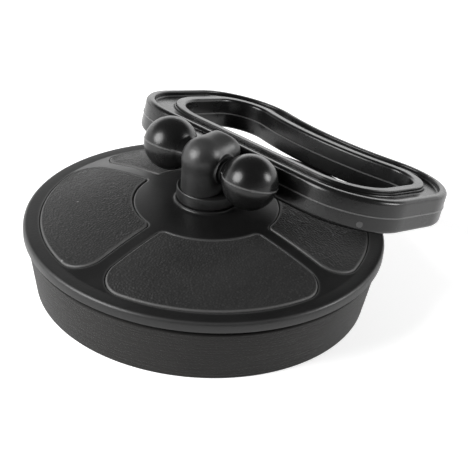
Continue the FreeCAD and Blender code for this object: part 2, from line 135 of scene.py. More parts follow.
def closed_grid(grid: Array, ring: bool = False) -> Shell:
    """Close a grid of points P(row, column) round its columns.

    Each face joins P(i, j), P(i, j+1), P(i+1, j+1) and P(i+1, j), with j counted round.

    Args:
        grid: points of shape (rows, columns, 3).
        ring: whether the last row joins the first; if not, each end is closed by a fan to its
            middle.

    Returns:
        The closed surface, facing outwards.
    """
    rows, columns = grid.shape[:2]
    number = np.arange(rows * columns).reshape(rows, columns)
    if ring:
        number = np.vstack([number, number[:1]])
    onward = np.roll(number, -1, axis=1)
    quads = np.stack([number[:-1], onward[:-1], onward[1:], number[1:]], axis=-1).reshape(-1, 4)
    points = grid.reshape(-1, 3)
    if ring:
        return Shell(points, (quads,)).outward()
    low, high = rows * columns, rows * columns + 1
    fans = [np.stack([np.full(columns, low), onward[0], number[0]], axis=-1),
            np.stack([np.full(columns, high), number[-1], onward[-1]], axis=-1)]
    middles = grid[[0, -1]].mean(axis=1)
    return Shell(np.vstack([points, middles]), (quads, np.vstack(fans))).outward()


def rounded_outline(corners: Sequence[Triple], steps: int = 6) -> Array:
    """Outline whose corners are arcs.

    At a corner with unit vectors a and b towards its neighbours and rounding r, the arc's centre
    lies along a + b at r / sin(half the angle between them), and the arc is swung evenly between
    the two points where it touches the sides, r / tan(half) away.

    Args:
        corners: (x, y, rounding) of each corner in order.
        steps: number of runs that an arc is made of.

    Returns:
        Points of shape (corners * (steps + 1), 2).
    """
    table = np.array(corners, float)
    spots, rounding = table[:, :2], np.maximum(table[:, 2:], 0.01)
    before, after = np.roll(spots, 1, axis=0) - spots, np.roll(spots, -1, axis=0) - spots
    before /= np.linalg.norm(before, axis=1, keepdims=True)
    after /= np.linalg.norm(after, axis=1, keepdims=True)
    half = np.arccos(np.clip((before * after).sum(axis=1, keepdims=True), -1.0, 1.0)) / 2.0
    middle = (before + after) / np.linalg.norm(before + after, axis=1, keepdims=True)
    centre = spots + middle * rounding / np.sin(half)
    first = spots + before * rounding / np.tan(half) - centre
    last = spots + after * rounding / np.tan(half) - centre
    swing = (math.pi - 2.0 * half)[:, :, None]
    share = np.linspace(0.0, 1.0, steps + 1)[None, :, None]
    arc = (np.sin((1.0 - share) * swing) * first[:, None] + np.sin(share * swing) * last[:, None])
    return (centre[:, None] + arc / np.sin(swing)).reshape(-1, 2)


def swing(first: Array, second: Array, turn: float) -> tuple[Array, Array]:
    """Two coordinates swung by an angle: (a cos t - b sin t, a sin t + b cos t)."""
    along, across = math.cos(turn), math.sin(turn)
    return first * along - second * across, first * across + second * along


def polar_grid(radius: Array, angle: Array, height: Array) -> Array:
    """Points (r cos t, r sin t, h), of shape (rows, columns, 3)."""
    x, y = radius * np.cos(angle), radius * np.sin(angle)
    return np.stack([x, y, np.broadcast_to(height, x.shape)], axis=-1)


def turned_grid(outline: Array, columns: int) -> Array:
    """Turn an outline of (radius, height) about Z: P = (r cos t, r sin t, h).

    Args:
        outline: points of shape (rows, 2).
        columns: number of steps round the axis.

    Returns:
        Grid of shape (rows, columns, 3).
    """
    return polar_grid(outline[:, :1], np.arange(columns) * TURN / columns, outline[:, 1:])


def smooth_step(value: Array, low: float, high: float) -> Array:
    """Rise from 0 at low to 1 at high along 3 t^2 - 2 t^3."""
    share = np.clip((value - low) / (high - low), 0.0, 1.0)
    return share * share * (3.0 - 2.0 * share)


def ease(share: Array) -> Array:
    """Shares from 0 to 1 that crowd at both ends: (1 - cos(pi t)) / 2."""
    return 0.5 - 0.5 * np.cos(math.pi * share)


def scatter(cells: Array, seed: int) -> Array:
    """Even random numbers for whole-numbered cells: the broken part of a large sine.

    Args:
        cells: whole numbers of shape (..., 2).
        seed: chooses the set of numbers.

    Returns:
        Two numbers from 0 to 1 for each cell, of shape (..., 2).
    """
    first = np.sin(cells[..., 0] * 127.1 + cells[..., 1] * 311.7 + seed * 17.3) * 43758.5453
    second = np.sin(cells[..., 0] * 269.5 + cells[..., 1] * 183.3 + seed * 41.9) * 24634.6345
    return np.stack([first - np.floor(first), second - np.floor(second)], axis=-1)


def pebbles(spots: Array, cell: float, seed: int) -> Array:
    """Height of a pebbled skin: the distance to the second nearest of a set of scattered points
    less the distance to the nearest, in cells, which is 0 along the creases between pebbles.

    Args:
        spots: places of shape (..., 2) in millimetres.
        cell: mean size of a pebble in millimetres.
        seed: chooses the pattern.

    Returns:
        Heights of shape (...), from 0 to about 1.
    """
    place = spots / cell
    home = np.floor(place)
    nearest = np.full(place.shape[:-1], 9.0)
    second = np.full(place.shape[:-1], 9.0)
    for across in (-1.0, 0.0, 1.0):
        for along in (-1.0, 0.0, 1.0):
            other = home + np.array([across, along])
            gap = np.linalg.norm(other + scatter(other, seed) - place, axis=-1)
            second = np.minimum(second, np.maximum(nearest, gap))
            nearest = np.minimum(nearest, gap)
    return second - nearest


def place_object(name: str, data: bpy.types.ID) -> bpy.types.Object:
    """Make an object of some data and link it to the scene.

    Args:
        name: the object's name.
        data: its mesh, lamp or camera.

    Returns:
        The new object.
    """
    thing = bpy.data.objects.new(name, data)
    bpy.context.scene.collection.objects.link(thing)
    return thing


def make_piece(name: str, shells: Sequence[Shell], crease: float = 40.0) -> bpy.types.Object:
    """Put closed surfaces together into one mesh object at the origin.

    Args:
        name: name of the piece.
        shells: its closed surfaces.
        crease: angle in degrees past which an edge is shaded sharp.

    Returns:
        The new object, linked to the scene.
    """
    points, faces, offset = [], [], 0
    for shell in shells:
        points.append(shell.points)
        faces.extend(face for block in shell.faces for face in (block + offset).tolist())
        offset += len(shell.points)
    mesh = bpy.data.meshes.new(name)
    mesh.from_pydata((np.vstack(points) * MILLIMETRE).tolist(), [], faces)
    mesh.polygons.foreach_set("use_smooth", np.ones(len(mesh.polygons), bool))
    mesh.set_sharp_from_angle(angle=math.radians(crease))
    mesh.update()
    return place_object(name, mesh)


def store(piece: bpy.types.Object, title: Paint, values: Array) -> None:
    """Store one number for each point of a piece, for its material to read."""
    attribute = piece.data.attributes.new(title.value, "FLOAT", "POINT")
    attribute.data.foreach_set("value", values.astype(np.float32))


def fit_piece(piece: bpy.types.Object, body: Body, material: bpy.types.Material,
              nodes: Sequence[str]) -> None:
    """Dress a new piece, set it on its body and let it stand for its CAD nodes.

    Args:
        piece: the piece.
        body: body that it rides on.
        material: its material.
        nodes: CAD nodes that it replaces.
    """
    piece.data.materials.append(material)
    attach(piece, body.value)
    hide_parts(*nodes)
    LOG.info("%s: %d points, rides on %s", piece.name, len(piece.data.vertices), body.value)


def dress_node(name: str, material: bpy.types.Material) -> None:
    """Give a CAD node that keeps its own shape a better material.

    Args:
        name: the node's name.
        material: its new material.
    """
    node = frame["nodes"][name]
    node.data.materials.clear()
    node.data.materials.append(material)
    LOG.info("%s: kept, with %s", name, material.name)


# ---------------------------------------------------------------- materials

class Bench:
    """Places shader nodes in one tree and wires them."""

    def __init__(self, tree: bpy.types.NodeTree) -> None:
        """Start with a tree."""
        self.tree = tree

    def feed(self, node: bpy.types.Node, inputs: dict) -> None:
        """Wire or set the inputs of a node.

        Args:
            node: the node.
            inputs: value or source socket for each input, by its name or number.
        """
        for key, value in inputs.items():
            if isinstance(value, bpy.types.NodeSocket):
                self.tree.links.new(value, node.inputs[key])
            else:
                node.inputs[key].default_value = value

    def add(self, kind: str, inputs: dict | None = None, **settings: object) -> bpy.types.Node:
        """Place a node.

        Args:
            kind: the node's type name without its prefix.
            inputs: what its inputs are fed with.
            settings: other properties of the node.

        Returns:
            The new node.
        """
        node = self.tree.nodes.new("ShaderNode" + kind)
        for name, value in settings.items():
            setattr(node, name, value)
        self.feed(node, inputs or {})
        return node

    def calculate(self, kind: str, first: object, second: object) -> bpy.types.NodeSocket:
        """Output of a Math node on two values or sockets."""
        return self.add("Math", {0: first, 1: second}, operation=kind).outputs[0]

    def spread(self, value: bpy.types.NodeSocket, low: float, high: float,
               out_low: float = 0.0, out_high: float = 1.0) -> bpy.types.NodeSocket:
        """Output of a Map Range node from low..high to out_low..out_high."""
        node = self.add("MapRange", {0: value, 1: low, 2: high, 3: out_low, 4: out_high})
        return node.outputs[0]

    def blend(self, share: object, first: object, second: object) -> bpy.types.NodeSocket:
        """Colour that goes from first to second with the share."""
        return self.add("Mix", {0: share, 6: first, 7: second}, data_type="RGBA").outputs[2]

    def noise(self, where: bpy.types.NodeSocket, scale: object, detail: float,
              roughness: float = 0.5) -> bpy.types.NodeSocket:
        """Height output of a Noise Texture."""
        return self.add("TexNoise", {"Vector": where, "Scale": scale, "Detail": detail,
                                     "Roughness": roughness}).outputs[0]

    def painted(self, title: Paint) -> bpy.types.NodeSocket:
        """The number that is stored on a piece's points under a title."""
        return self.add("Attribute", attribute_name=title.value).outputs["Fac"]


@dataclass(frozen=True)
class Effect:
    """A shader node group that several materials share."""

    name: str
    inputs: tuple[tuple[str, float], ...]
    outputs: tuple[str, ...]

    def begin(self) -> tuple[Bench, bpy.types.Node, bpy.types.Node]:
        """Make the group's tree.

        Returns:
            Its bench, its input node and its output node.
        """
        tree = bpy.data.node_groups.new(self.name, "ShaderNodeTree")
        tree.interface.new_socket("Vector", in_out="INPUT", socket_type="NodeSocketVector")
        for name, value in self.inputs:
            socket = tree.interface.new_socket(name, in_out="INPUT", socket_type="NodeSocketFloat")
            socket.default_value = value
        for name in self.outputs:
            tree.interface.new_socket(name, in_out="OUTPUT", socket_type="NodeSocketFloat")
        return Bench(tree), tree.nodes.new("NodeGroupInput"), tree.nodes.new("NodeGroupOutput")


def moulded_skin() -> bpy.types.NodeTree:
    """Skin of a plastic moulding: cloudy tone, and a fine orange peel for the height.

    Returns:
        The node group.
    """
    effect = Effect("moulded_skin", (("Cloud Scale", 60.0), ("Peel Scale", 900.0)),
                    ("Tone", "Height"))
    bench, given, result = effect.begin()
    place = given.outputs["Vector"]
    cloud = bench.noise(place, given.outputs["Cloud Scale"], 4.0, 0.55)
    peel = bench.noise(place, given.outputs["Peel Scale"], 2.0)
    bench.feed(result, {"Tone": bench.spread(cloud, 0.3, 0.7), "Height": peel})
    return bench.tree


def dust_specks() -> bpy.types.NodeTree:
    """Few small specks: the middles of those scattered cells whose own number is low.

    Returns:
        The node group.
    """
    effect = Effect("dust_specks", (("Scale", 90.0), ("Share", 0.05), ("Size", 0.16)), ("Mask",))
    bench, given, result = effect.begin()
    cells = bench.add("TexVoronoi", {"Vector": given.outputs["Vector"],
                                     "Scale": given.outputs["Scale"], "Randomness": 1.0})
    number = bench.add("SeparateColor", {0: cells.outputs["Color"]}).outputs[0]
    chosen = bench.calculate("LESS_THAN", number, given.outputs["Share"])
    near = bench.calculate("DIVIDE", cells.outputs["Distance"], given.outputs["Size"])
    spot = bench.calculate("MAXIMUM", bench.calculate("SUBTRACT", 1.0, near), 0.0)
    bench.feed(result, {"Mask": bench.calculate("MULTIPLY", spot, chosen)})
    return bench.tree


def grey(level: float, warmth: float = 0.0) -> Colour:
    """A grey of a given lightness, a little warmer or colder."""
    return (level * (1.0 + warmth), level, level * (1.0 - warmth), 1.0)


def start_material(name: str) -> tuple[Bench, bpy.types.Node]:
    """Make a material with the plain shader.

    Args:
        name: the material's name.

    Returns:
        Its bench and its shader.
    """
    material = bpy.data.materials.new(name)
    material.use_nodes = True
    return Bench(material.node_tree), material.node_tree.nodes["Principled BSDF"]


@dataclass(frozen=True)
class Workshop:
    """What every material of the plunger starts from: the moulded skin and the dust specks."""

    skin: bpy.types.NodeTree
    specks: bpy.types.NodeTree
    dust: Colour = grey(0.30)

    def begin(self, name: str) -> tuple[Bench, bpy.types.Node, bpy.types.NodeSocket]:
        """Make a material.

        Args:
            name: the material's name.

        Returns:
            Its bench, its shader and the place of each point on the object.
        """
        bench, shader = start_material(name)
        return bench, shader, bench.add("TexCoord").outputs["Object"]

    def use(self, bench: Bench, tree: bpy.types.NodeTree, place: bpy.types.NodeSocket,
            **values: float) -> bpy.types.Node:
        """Place one of the two groups with its own values.

        Args:
            bench: the material's bench.
            tree: the group.
            place: the place of each point.
            values: the group's other inputs, with an underscore for each space.

        Returns:
            The group's node.
        """
        named = {name.replace("_", " ").title(): value for name, value in values.items()}
        return bench.add("Group", {"Vector": place, **named}, node_tree=tree)

    def close(self, bench: Bench, shader: bpy.types.Node, height: bpy.types.NodeSocket,
              depth: float, inputs: dict) -> None:
        """Feed a bump to the shader's normal, and the rest to its other inputs.

        Args:
            bench: the material's bench.
            shader: its shader.
            height: the bump's height.
            depth: what a height of 1 stands for, in metres.
            inputs: what the shader's other inputs are fed with.
        """
        bump = bench.add("Bump", {"Height": height, "Strength": 1.0, "Distance": depth})
        bench.feed(shader, {"Normal": bump.outputs[0], **inputs})


@dataclass(frozen=True)
class Plastic:
    """Moulded black plastic: clouds of two greys, specks, painted highlights and a fine orange peel."""

    name: str
    roughness: float
    gloss_drift: float
    peel_depth: float
    shine: float = 0.5
    dark: float = 0.005
    light: float = 0.009
    cloud_scale: float = 60.0
    peel_scale: float = 900.0
    speck_share: float = 0.05
    edge_light: float = 0.0

    def material(self, shop: Workshop) -> bpy.types.Material:
        """Make the material.

        Args:
            shop: what every material starts from.

        Returns:
            The material.
        """
        bench, shader, place = shop.begin(self.name)
        skin = shop.use(bench, shop.skin, place, cloud_scale=self.cloud_scale,
                        peel_scale=self.peel_scale)
        specks = shop.use(bench, shop.specks, place, scale=140.0, share=self.speck_share, size=0.12)
        tone = bench.blend(skin.outputs["Tone"], grey(self.dark), grey(self.light))
        # Painted highlight: the tone goes towards edge_light where the piece stores it.
        if self.edge_light:
            tone = bench.blend(bench.painted(Paint.PAINTED_HIGHLIGHT_AND_MARK), tone, grey(self.edge_light))
        colour = bench.blend(specks.outputs["Mask"], tone, shop.dust)
        gloss = bench.spread(skin.outputs["Tone"], 0.0, 1.0, self.roughness - self.gloss_drift,
                             self.roughness + self.gloss_drift)
        shop.close(bench, shader, skin.outputs["Height"], self.peel_depth,
                   {"Base Color": colour, "Roughness": gloss, "Specular IOR Level": self.shine})
        return bpy.data.materials[self.name]


@dataclass(frozen=True)
class Leather:
    """Leather-grained plastic of the panels: dark creases, paler pebble crowns and a painted highlight
    along the edges.
    """

    name: str = "leather_grain"
    dark: Colour = grey(0.008)
    light: Colour = grey(0.014, 0.01)
    crown: Colour = grey(0.022, 0.01)
    edge: Colour = grey(0.075, 0.01)
    roughness: Pair = (0.50, 0.60)
    peel_depth: float = 0.00012

    def material(self, shop: Workshop) -> bpy.types.Material:
        """Make the material.

        Args:
            shop: what every material starts from.

        Returns:
            The material.
        """
        bench, shader, place = shop.begin(self.name)
        skin = shop.use(bench, shop.skin, place, cloud_scale=45.0, peel_scale=1500.0)
        specks = shop.use(bench, shop.specks, place, scale=150.0, share=0.03, size=0.10)
        tone = bench.blend(skin.outputs["Tone"], self.dark, self.light)
        raised = bench.blend(bench.painted(Paint.PEBBLE), tone, self.crown)
        # Painted highlight: the band along the panel's edge is lightened towards the edge grey.
        highlighted = bench.blend(bench.painted(Paint.PAINTED_HIGHLIGHT_AND_MARK), raised, self.edge)
        colour = bench.blend(specks.outputs["Mask"], highlighted, shop.dust)
        gloss = bench.spread(skin.outputs["Tone"], 0.0, 1.0, *self.roughness)
        shop.close(bench, shader, skin.outputs["Height"], self.peel_depth,
                   {"Base Color": colour, "Roughness": gloss, "Sheen Weight": 0.12,
                    "Sheen Roughness": 0.35})
        return bpy.data.materials[self.name]


@dataclass(frozen=True)
class Sponge:
    """Closed-cell sponge rubber: warm charcoal with level streaks and open pores."""

    name: str = "sponge_rubber"
    dark: Colour = grey(0.009, 0.05)
    light: Colour = grey(0.015, 0.06)
    streak: Colour = grey(0.008, 0.04)
    pore: Colour = grey(0.006, 0.05)
    streak_stretch: Triple = (1.0, 1.0, 16.0)
    roughness: Pair = (0.82, 0.95)
    depth: float = 0.00011

    def material(self, shop: Workshop) -> bpy.types.Material:
        """Make the material.

        Args:
            shop: what every material starts from.

        Returns:
            The material.
        """
        bench, shader, place = shop.begin(self.name)
        level = bench.add("Mapping", {"Vector": place, "Scale": self.streak_stretch})
        streaks = bench.noise(level.outputs[0], 70.0, 5.0)
        cells = bench.add("TexVoronoi", {"Vector": place, "Scale": 1300.0})
        pore = bench.spread(cells.outputs["Distance"], 0.0, 0.45)
        skin = shop.use(bench, shop.skin, place, cloud_scale=35.0, peel_scale=700.0)
        tone = bench.blend(skin.outputs["Tone"], self.dark, self.light)
        streaked = bench.blend(bench.spread(streaks, 0.35, 0.65), self.streak, tone)
        colour = bench.blend(bench.spread(pore, 0.0, 1.0, 0.22, 0.0), streaked, self.pore)
        gloss = bench.spread(streaks, 0.3, 0.7, *self.roughness)
        height = bench.calculate("ADD", bench.calculate("MULTIPLY", streaks, 1.5), pore)
        shop.close(bench, shader, height, self.depth,
                   {"Base Color": colour, "Roughness": gloss, "Specular IOR Level": 0.25,
                    "Sheen Weight": 0.22, "Sheen Roughness": 0.4})
        return bpy.data.materials[self.name]


@dataclass(frozen=True)
class TurnedSteel:
    """Turned stainless steel with fine marks round its axis."""

    name: str = "turned_steel"
    dark: Colour = grey(0.42)
    light: Colour = grey(0.60)
    mark_stretch: Triple = (1.0, 1.0, 14.0)
    roughness: Pair = (0.22, 0.42)
    mark_depth: float = 0.00004

    def material(self, shop: Workshop) -> bpy.types.Material:
        """Make the material.

        Args:
            shop: what every material starts from.

        Returns:
            The material.
        """
        bench, shader, place = shop.begin(self.name)
        level = bench.add("Mapping", {"Vector": place, "Scale": self.mark_stretch})
        marks = bench.noise(level.outputs[0], 400.0, 4.0)
        skin = shop.use(bench, shop.skin, place, cloud_scale=120.0, peel_scale=1200.0)
        shop.close(bench, shader, marks, self.mark_depth,
                   {"Base Color": bench.blend(skin.outputs["Tone"], self.dark, self.light),
                    "Roughness": bench.spread(marks, 0.3, 0.7, *self.roughness), "Metallic": 1.0})
        return bpy.data.materials[self.name]


# ---------------------------------------------------------------- bell ring

@dataclass(frozen=True)
class SpongeRing:
    """Sponge-rubber ring under the plate's rim, with the shadow groove at its top."""

    foot_radius: float = 69.7
    top_radius: float = 73.4
    bore_radius: float = 60.0
    neck_height: float = 2.0
    neck_inset: float = 2.3
    edge_round: float = 0.7
    columns: int = 420
    wall_rows: int = 110
    streak_depth: float = 0.03
    streak_fade: Pair = (21.6, 22.4)
    kept_share: float = (24.7 - 8.0) / 24.7

    def outline(self) -> Array:
        """Outline of the wall, from its foot outside, over the neck, to the bore and back.

        Returns:
            Points of shape (rows, 2).
        """
        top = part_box("sealing_ring")[1].z / MILLIMETRE
        shelf = top - self.neck_height
        neck = self.top_radius - self.neck_inset
        ends = rounded_outline([
            (self.bore_radius, 0.0, self.edge_round), (self.foot_radius, 0.0, self.edge_round),
            (self.top_radius, shelf, self.edge_round), (neck, shelf, 0.2),
            (neck, top, 0.05), (self.bore_radius, top, 0.05)])
        arc = len(ends) // 6
        start, stop = ends[2 * arc - 1], ends[2 * arc]
        share = np.linspace(0.0, 1.0, self.wall_rows)[1:-1, None]
        return np.vstack([ends[:2 * arc], start + (stop - start) * share, ends[2 * arc:]])

    def shell(self) -> Shell:
        """Turn the outline, with level streaks: the wall's radius drifts with height, and a
        little with angle, by sums of sines of unrelated lengths.

        Returns:
            The closed surface.
        """
        grid = turned_grid(self.outline(), self.columns)
        height = grid[..., 2]
        angle = np.arctan2(grid[..., 1], grid[..., 0])
        wave = (np.sin(height * 9.1 + 0.8 * np.sin(angle * 3.0))
                + np.sin(height * 14.7 + 1.3 * np.sin(angle * 5.0 + 1.0))
                + 0.8 * np.sin(height * 5.3 + 0.9 * np.sin(angle * 2.0 + 2.0)))
        radius = np.hypot(grid[..., 0], grid[..., 1])
        wall = (smooth_step(radius, self.foot_radius - 0.3, self.foot_radius)
                * smooth_step(height, 0.0, 1.0) * (1.0 - smooth_step(height, *self.streak_fade)))
        grown = 1.0 - self.streak_depth * wall * (1.0 + wave / 2.8) / radius
        grid[..., :2] *= grown[..., None]
        return closed_grid(grid, ring=True)

    def build(self, shop: Workshop) -> None:
        """Make the ring, give it a mesh of its own, and dress it.

        Args:
            shop: what its material starts from.
        """
        piece = make_piece("sponge_ring", [self.shell()])
        fit_piece(piece, Body.BELL, Sponge().material(shop), ["sealing_ring"])
        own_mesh(piece)


# ---------------------------------------------------------------- plate and its panels

@dataclass(frozen=True)
class Dome:
    """The ball that the plate's top is a cap of."""

    crown: float = 39.4
    radius: float = 234.0

    def height(self, distance: Array, offset: float = 0.0) -> Array:
        """Height at a distance from the axis: crown - R + sqrt((R + offset)^2 - distance^2)."""
        ball = self.radius + offset
        return self.crown - self.radius + np.sqrt(ball * ball - distance * distance)


@dataclass(frozen=True)
class PanelOutline:
    """Outline of one panel in the first quarter: two straight sides, two round edges, and four
    rounded corners."""

    inner_radius: float = 30.4
    outer_radius: float = 68.0
    rib_half: float = 3.25
    outer_round: float = 10.0
    inner_round: float = 2.5

    def grown(self, gap: float) -> "PanelOutline":
        """The same outline, larger by a gap all round."""
        return PanelOutline(self.inner_radius - gap, self.outer_radius + gap, self.rib_half - gap,
                            self.outer_round + gap, self.inner_round + gap)

    def corners(self) -> tuple[tuple[float, float, bool], tuple[float, float, bool]]:
        """Distance of each corner's centre from the plate's middle, its rounding, and whether it
        is an outer one."""
        return ((self.outer_radius - self.outer_round, self.outer_round, True),
                (self.inner_radius + self.inner_round, self.inner_round, False))

    def side_angle(self, radius: Array) -> Array:
        """Angle of the panel's side at a radius between its two round edges.

        Along the straight side it is asin(rib_half / r).  In a corner whose arc has its centre at
        distance c and angle g from the plate's middle, and radius q, the side crosses the circle
        of radius r at g - acos((r^2 + c^2 - q^2) / (2 r c)).

        Args:
            radius: radii of any shape.

        Returns:
            Angles of the same shape.
        """
        held = np.clip(radius, self.inner_radius, self.outer_radius)
        angle = np.arcsin(self.rib_half / held)
        for distance, rounding, outer in self.corners():
            side = self.rib_half + rounding
            touch = math.hypot(math.sqrt(distance ** 2 - side ** 2), self.rib_half)
            share = (held ** 2 + distance ** 2 - rounding ** 2) / (2.0 * held * distance)
            arc = math.asin(side / distance) - np.arccos(np.clip(share, -1.0, 1.0))
            angle = np.where(held > touch if outer else held < touch, arc, angle)
        return angle

    def distance(self, across: Array, along: Array) -> Array:
        """Distance from a point outwards to the outline, less than 0 inside it.

        It is the greatest of the distances past the straight side and past the two round edges,
        or in a corner's wedge the distance to the corner's centre less its rounding.

        Args:
            across: first coordinate of each point.
            along: second coordinate of each point.

        Returns:
            Distances of the same shape.
        """
        radius = np.hypot(across, along)
        near, far = np.minimum(across, along), np.maximum(across, along)
        angle = np.arctan2(near, far)
        result = np.maximum(self.rib_half - near,
                            np.maximum(radius - self.outer_radius, self.inner_radius - radius))
        for reach, rounding, outer in self.corners():
            side = self.rib_half + rounding
            level = math.sqrt(reach ** 2 - side ** 2)
            wedge = (angle < math.atan2(side, level)) & (far > level if outer else far < level)
            result = np.where(wedge, np.hypot(far - level, near - side) - rounding, result)
        return result


def edge_fall(distance: Array, rounding: float) -> Array:
    """How far a rounded edge lies below its face at a distance from the edge:
    q - sqrt(q^2 - (q - e)^2), and nothing past q."""
    short = rounding - np.clip(distance, 0.0, rounding)
    return rounding - np.sqrt(np.maximum(rounding ** 2 - short ** 2, 0.0))


def highlight_band(distance: Array, middle: float, width: float) -> Array:
    """Painted highlight in a band along an edge, from 0 to 1: exp(-((d - m) / w)^2)."""
    return np.exp(-((distance - middle) / width) ** 2)


@dataclass(frozen=True)
class PressurePlate:
    """Domed plate in one closed surface, with its collar, rim, boss and recesses, and spokes."""

    outline: PanelOutline = PanelOutline().grown(0.2)
    dome: Dome = Dome()
    finish: Plastic = Plastic("plate_satin", 0.40, 0.06, 0.00005, 0.38, cloud_scale=50.0,
                              speck_share=0.04, edge_light=0.05)
    rim_radius: float = 75.0
    rim_round: float = 1.5
    rim_top: float = 29.0
    crease_from: float = 28.0
    crease_highlight: float = 0.6
    seat_radius: float = 58.0
    seat_height: float = 24.7
    wall: float = 3.6
    boss_radius: float = 13.0
    boss_face: float = 30.3
    bore: float = 6.55
    bore_lead: float = 0.3
    collar_radius: float = 13.1
    collar_top: float = 40.2
    collar_foot: float = 14.4
    recess_depth: float = 1.2
    lip_round: float = 0.7
    clocking: float = 2.2
    wall_slant: float = 0.02
    spoke_count: int = 8
    spoke_half: float = 1.2
    spoke_drop: float = 5.0
    spoke_lap: float = 1.0
    spoke_rows: int = 20
    under_rows: int = 24
    crease_rows: int = 9
    recess_rows: int = 60
    recess_columns: int = 46
    rise_rows: int = 14
    rise_gap: float = 3.5
    row_gaps: tuple[float, ...] = (2.4, 1.5, 1.0, 0.7, 0.5, 0.35, 0.22, 0.12, 0.05, 0.0)
    rib_shares: tuple[float, ...] = (1.0, 0.85, 0.68, 0.5, 0.36, 0.25, 0.17, 0.11, 0.075, 0.05,
                                     0.03, 0.014, 0.0)

    def under_side(self) -> Array:
        """Outline (radius, height) from the bore over boss, dome's underside, seat and rim to the
        flat land.

        Returns:
            Points of shape (rows, 2).
        """
        radii = np.linspace(self.boss_radius + 0.6, self.seat_radius - 0.4, self.under_rows)
        under = np.stack([radii, self.dome.height(radii, -self.wall)], axis=-1)
        boss = [(self.bore, self.boss_face + self.bore_lead),
                (self.bore + self.bore_lead, self.boss_face),
                (self.boss_radius - 0.4, self.boss_face), (self.boss_radius, self.boss_face + 0.4),
                (self.boss_radius, float(self.dome.height(self.boss_radius, -self.wall)) - 0.4)]
        seat = [(self.seat_radius, float(under[-1, 1]) - 0.5),
                (self.seat_radius, self.seat_height + 0.2),
                (self.seat_radius + 0.2, self.seat_height),
                (self.rim_radius - 0.35, self.seat_height),
                (self.rim_radius - 0.1, self.seat_height + 0.1),
                (self.rim_radius, self.seat_height + 0.35)]
        turn = np.linspace(0.0, math.pi / 2.0, self.crease_rows)
        middle = (self.rim_radius - self.rim_round, self.rim_top - self.rim_round)
        crease = np.stack([middle[0] + self.rim_round * np.cos(turn),
                           middle[1] + self.rim_round * np.sin(turn)], axis=-1)
        return np.vstack([boss, under, seat, crease])

    def top_radii(self) -> tuple[Array, Array]:
        """Radii of the rows of the top from the land to the collar, crowded at the recesses'
        edges, and whether each lies in the recesses.

        Returns:
            Radii and flags, one for each row.
        """
        crowd = np.array(self.row_gaps)
        low, high = self.outline.inner_radius, self.outline.outer_radius
        shares = ease(np.linspace(0.0, 1.0, self.recess_rows))
        inside = (high - self.wall_slant) - shares * (high - low - 2.0 * self.wall_slant)
        rise = np.linspace(low - self.rise_gap, self.collar_foot, self.rise_rows)
        outside = np.concatenate([low - crowd[::-1], rise])
        radii = np.concatenate([high + crowd, inside, outside])
        return radii, (radii < high) & (radii > low)

    def top_height(self, radius: Array) -> Array:
        """The dome, or the flat land where the dome has fallen below it."""
        return np.maximum(self.dome.height(radius), self.rim_top)

    def collar(self) -> Array:
        """Outline from the dome up the collar's hollow flare and over its top into the bore.

        Returns:
            Points of shape (rows, 2).
        """
        foot = float(self.dome.height(self.collar_foot))
        share = np.linspace(0.0, 1.0, 7)[1:-1]
        flare = np.stack([self.collar_foot - (self.collar_foot - self.collar_radius)
                          * np.sin(share * math.pi / 2.0),
                          foot + (self.collar_top - 0.25 - foot)
                          * (1.0 - np.cos(share * math.pi / 2.0))], axis=-1)
        top = [(self.collar_radius, self.collar_top - 0.25),
               (self.collar_radius - 0.07, self.collar_top - 0.07),
               (self.collar_radius - 0.25, self.collar_top),
               (self.bore + self.bore_lead, self.collar_top),
               (self.bore, self.collar_top - self.bore_lead)]
        return np.vstack([flare, top])

    def angles(self, radius: Array) -> tuple[Array, Array, Array]:
        """Angles of the columns at each radius.

        A column in a rib stands at a share of the side's angle, and one in a recess at a share of
        the way from the side to its mirror image about 45 degrees, so that a column runs along
        every side of the recesses.

        Args:
            radius: radius of each row, of shape (rows, 1).

        Returns:
            Angle within its quarter and angle round the plate, each of shape (rows, columns), and
            whether each column lies in the recesses.
        """
        share = 1.0 - np.array(self.rib_shares)
        inner = np.linspace(0.0005, 0.9995, self.recess_columns)
        ones, none = np.ones(len(inner)), np.zeros(len(inner))
        of_side = np.concatenate([share, ones, -share[:0:-1]])
        of_recess = np.concatenate([0.0 * share, inner, 0.0 * share[1:]])
        of_quarter = np.concatenate([0.0 * share, none, 1.0 + 0.0 * share[1:]])
        inside = np.concatenate([share < 0.0, ones > 0.0, share[1:] < 0.0])
        side = self.outline.side_angle(radius)
        local = (of_side * side + of_recess * (math.pi / 2.0 - 2.0 * side)
                 + of_quarter * math.pi / 2.0)
        round_plate = np.concatenate([local + quarter * math.pi / 2.0 for quarter in range(4)],
                                     axis=1)
        return np.tile(local, 4), round_plate + math.radians(self.clocking), np.tile(inside, 4)

    def shell(self) -> tuple[Shell, Array]:
        """The whole plate but for its spokes: each row of the outline carried round its columns,
        sunk inside the recesses and rounded off along their lips.

        Returns:
            The closed surface, and the painted highlight at each point, from 0 to 1.
        """
        below, above = self.under_side(), self.collar()
        radii, sunk_row = self.top_radii()
        top = np.stack([radii, self.top_height(radii)], axis=-1)
        outline = np.vstack([below, top, above])
        rows = np.zeros(len(outline), bool)
        rows[len(below):len(below) + len(top)] = True
        sunk = np.zeros(len(outline), bool)
        sunk[len(below):len(below) + len(top)] = sunk_row
        radius, height = outline[:, :1], outline[:, 1:]
        local, angle, inside = self.angles(radius)
        gap = self.outline.distance(radius * np.cos(local), radius * np.sin(local))
        floor = sunk[:, None] & inside[None, :]
        lip = np.where(rows[:, None] & ~floor, edge_fall(gap, self.lip_round), 0.0)
        depth = np.where(floor, self.recess_depth, lip)
        grid = polar_grid(radius, angle, height - depth)
        # Painted highlight: a band along each lip of the recesses, and the rim's crease, are painted
        # lighter.
        highlight = np.where(rows[:, None] & ~floor, highlight_band(gap, 0.25, 0.45), 0.0)
        crease = highlight_band(radius - self.rim_radius, -0.6, 0.5) * (height > self.crease_from)
        return closed_grid(grid, ring=True), np.maximum(highlight, self.crease_highlight * crease).ravel()

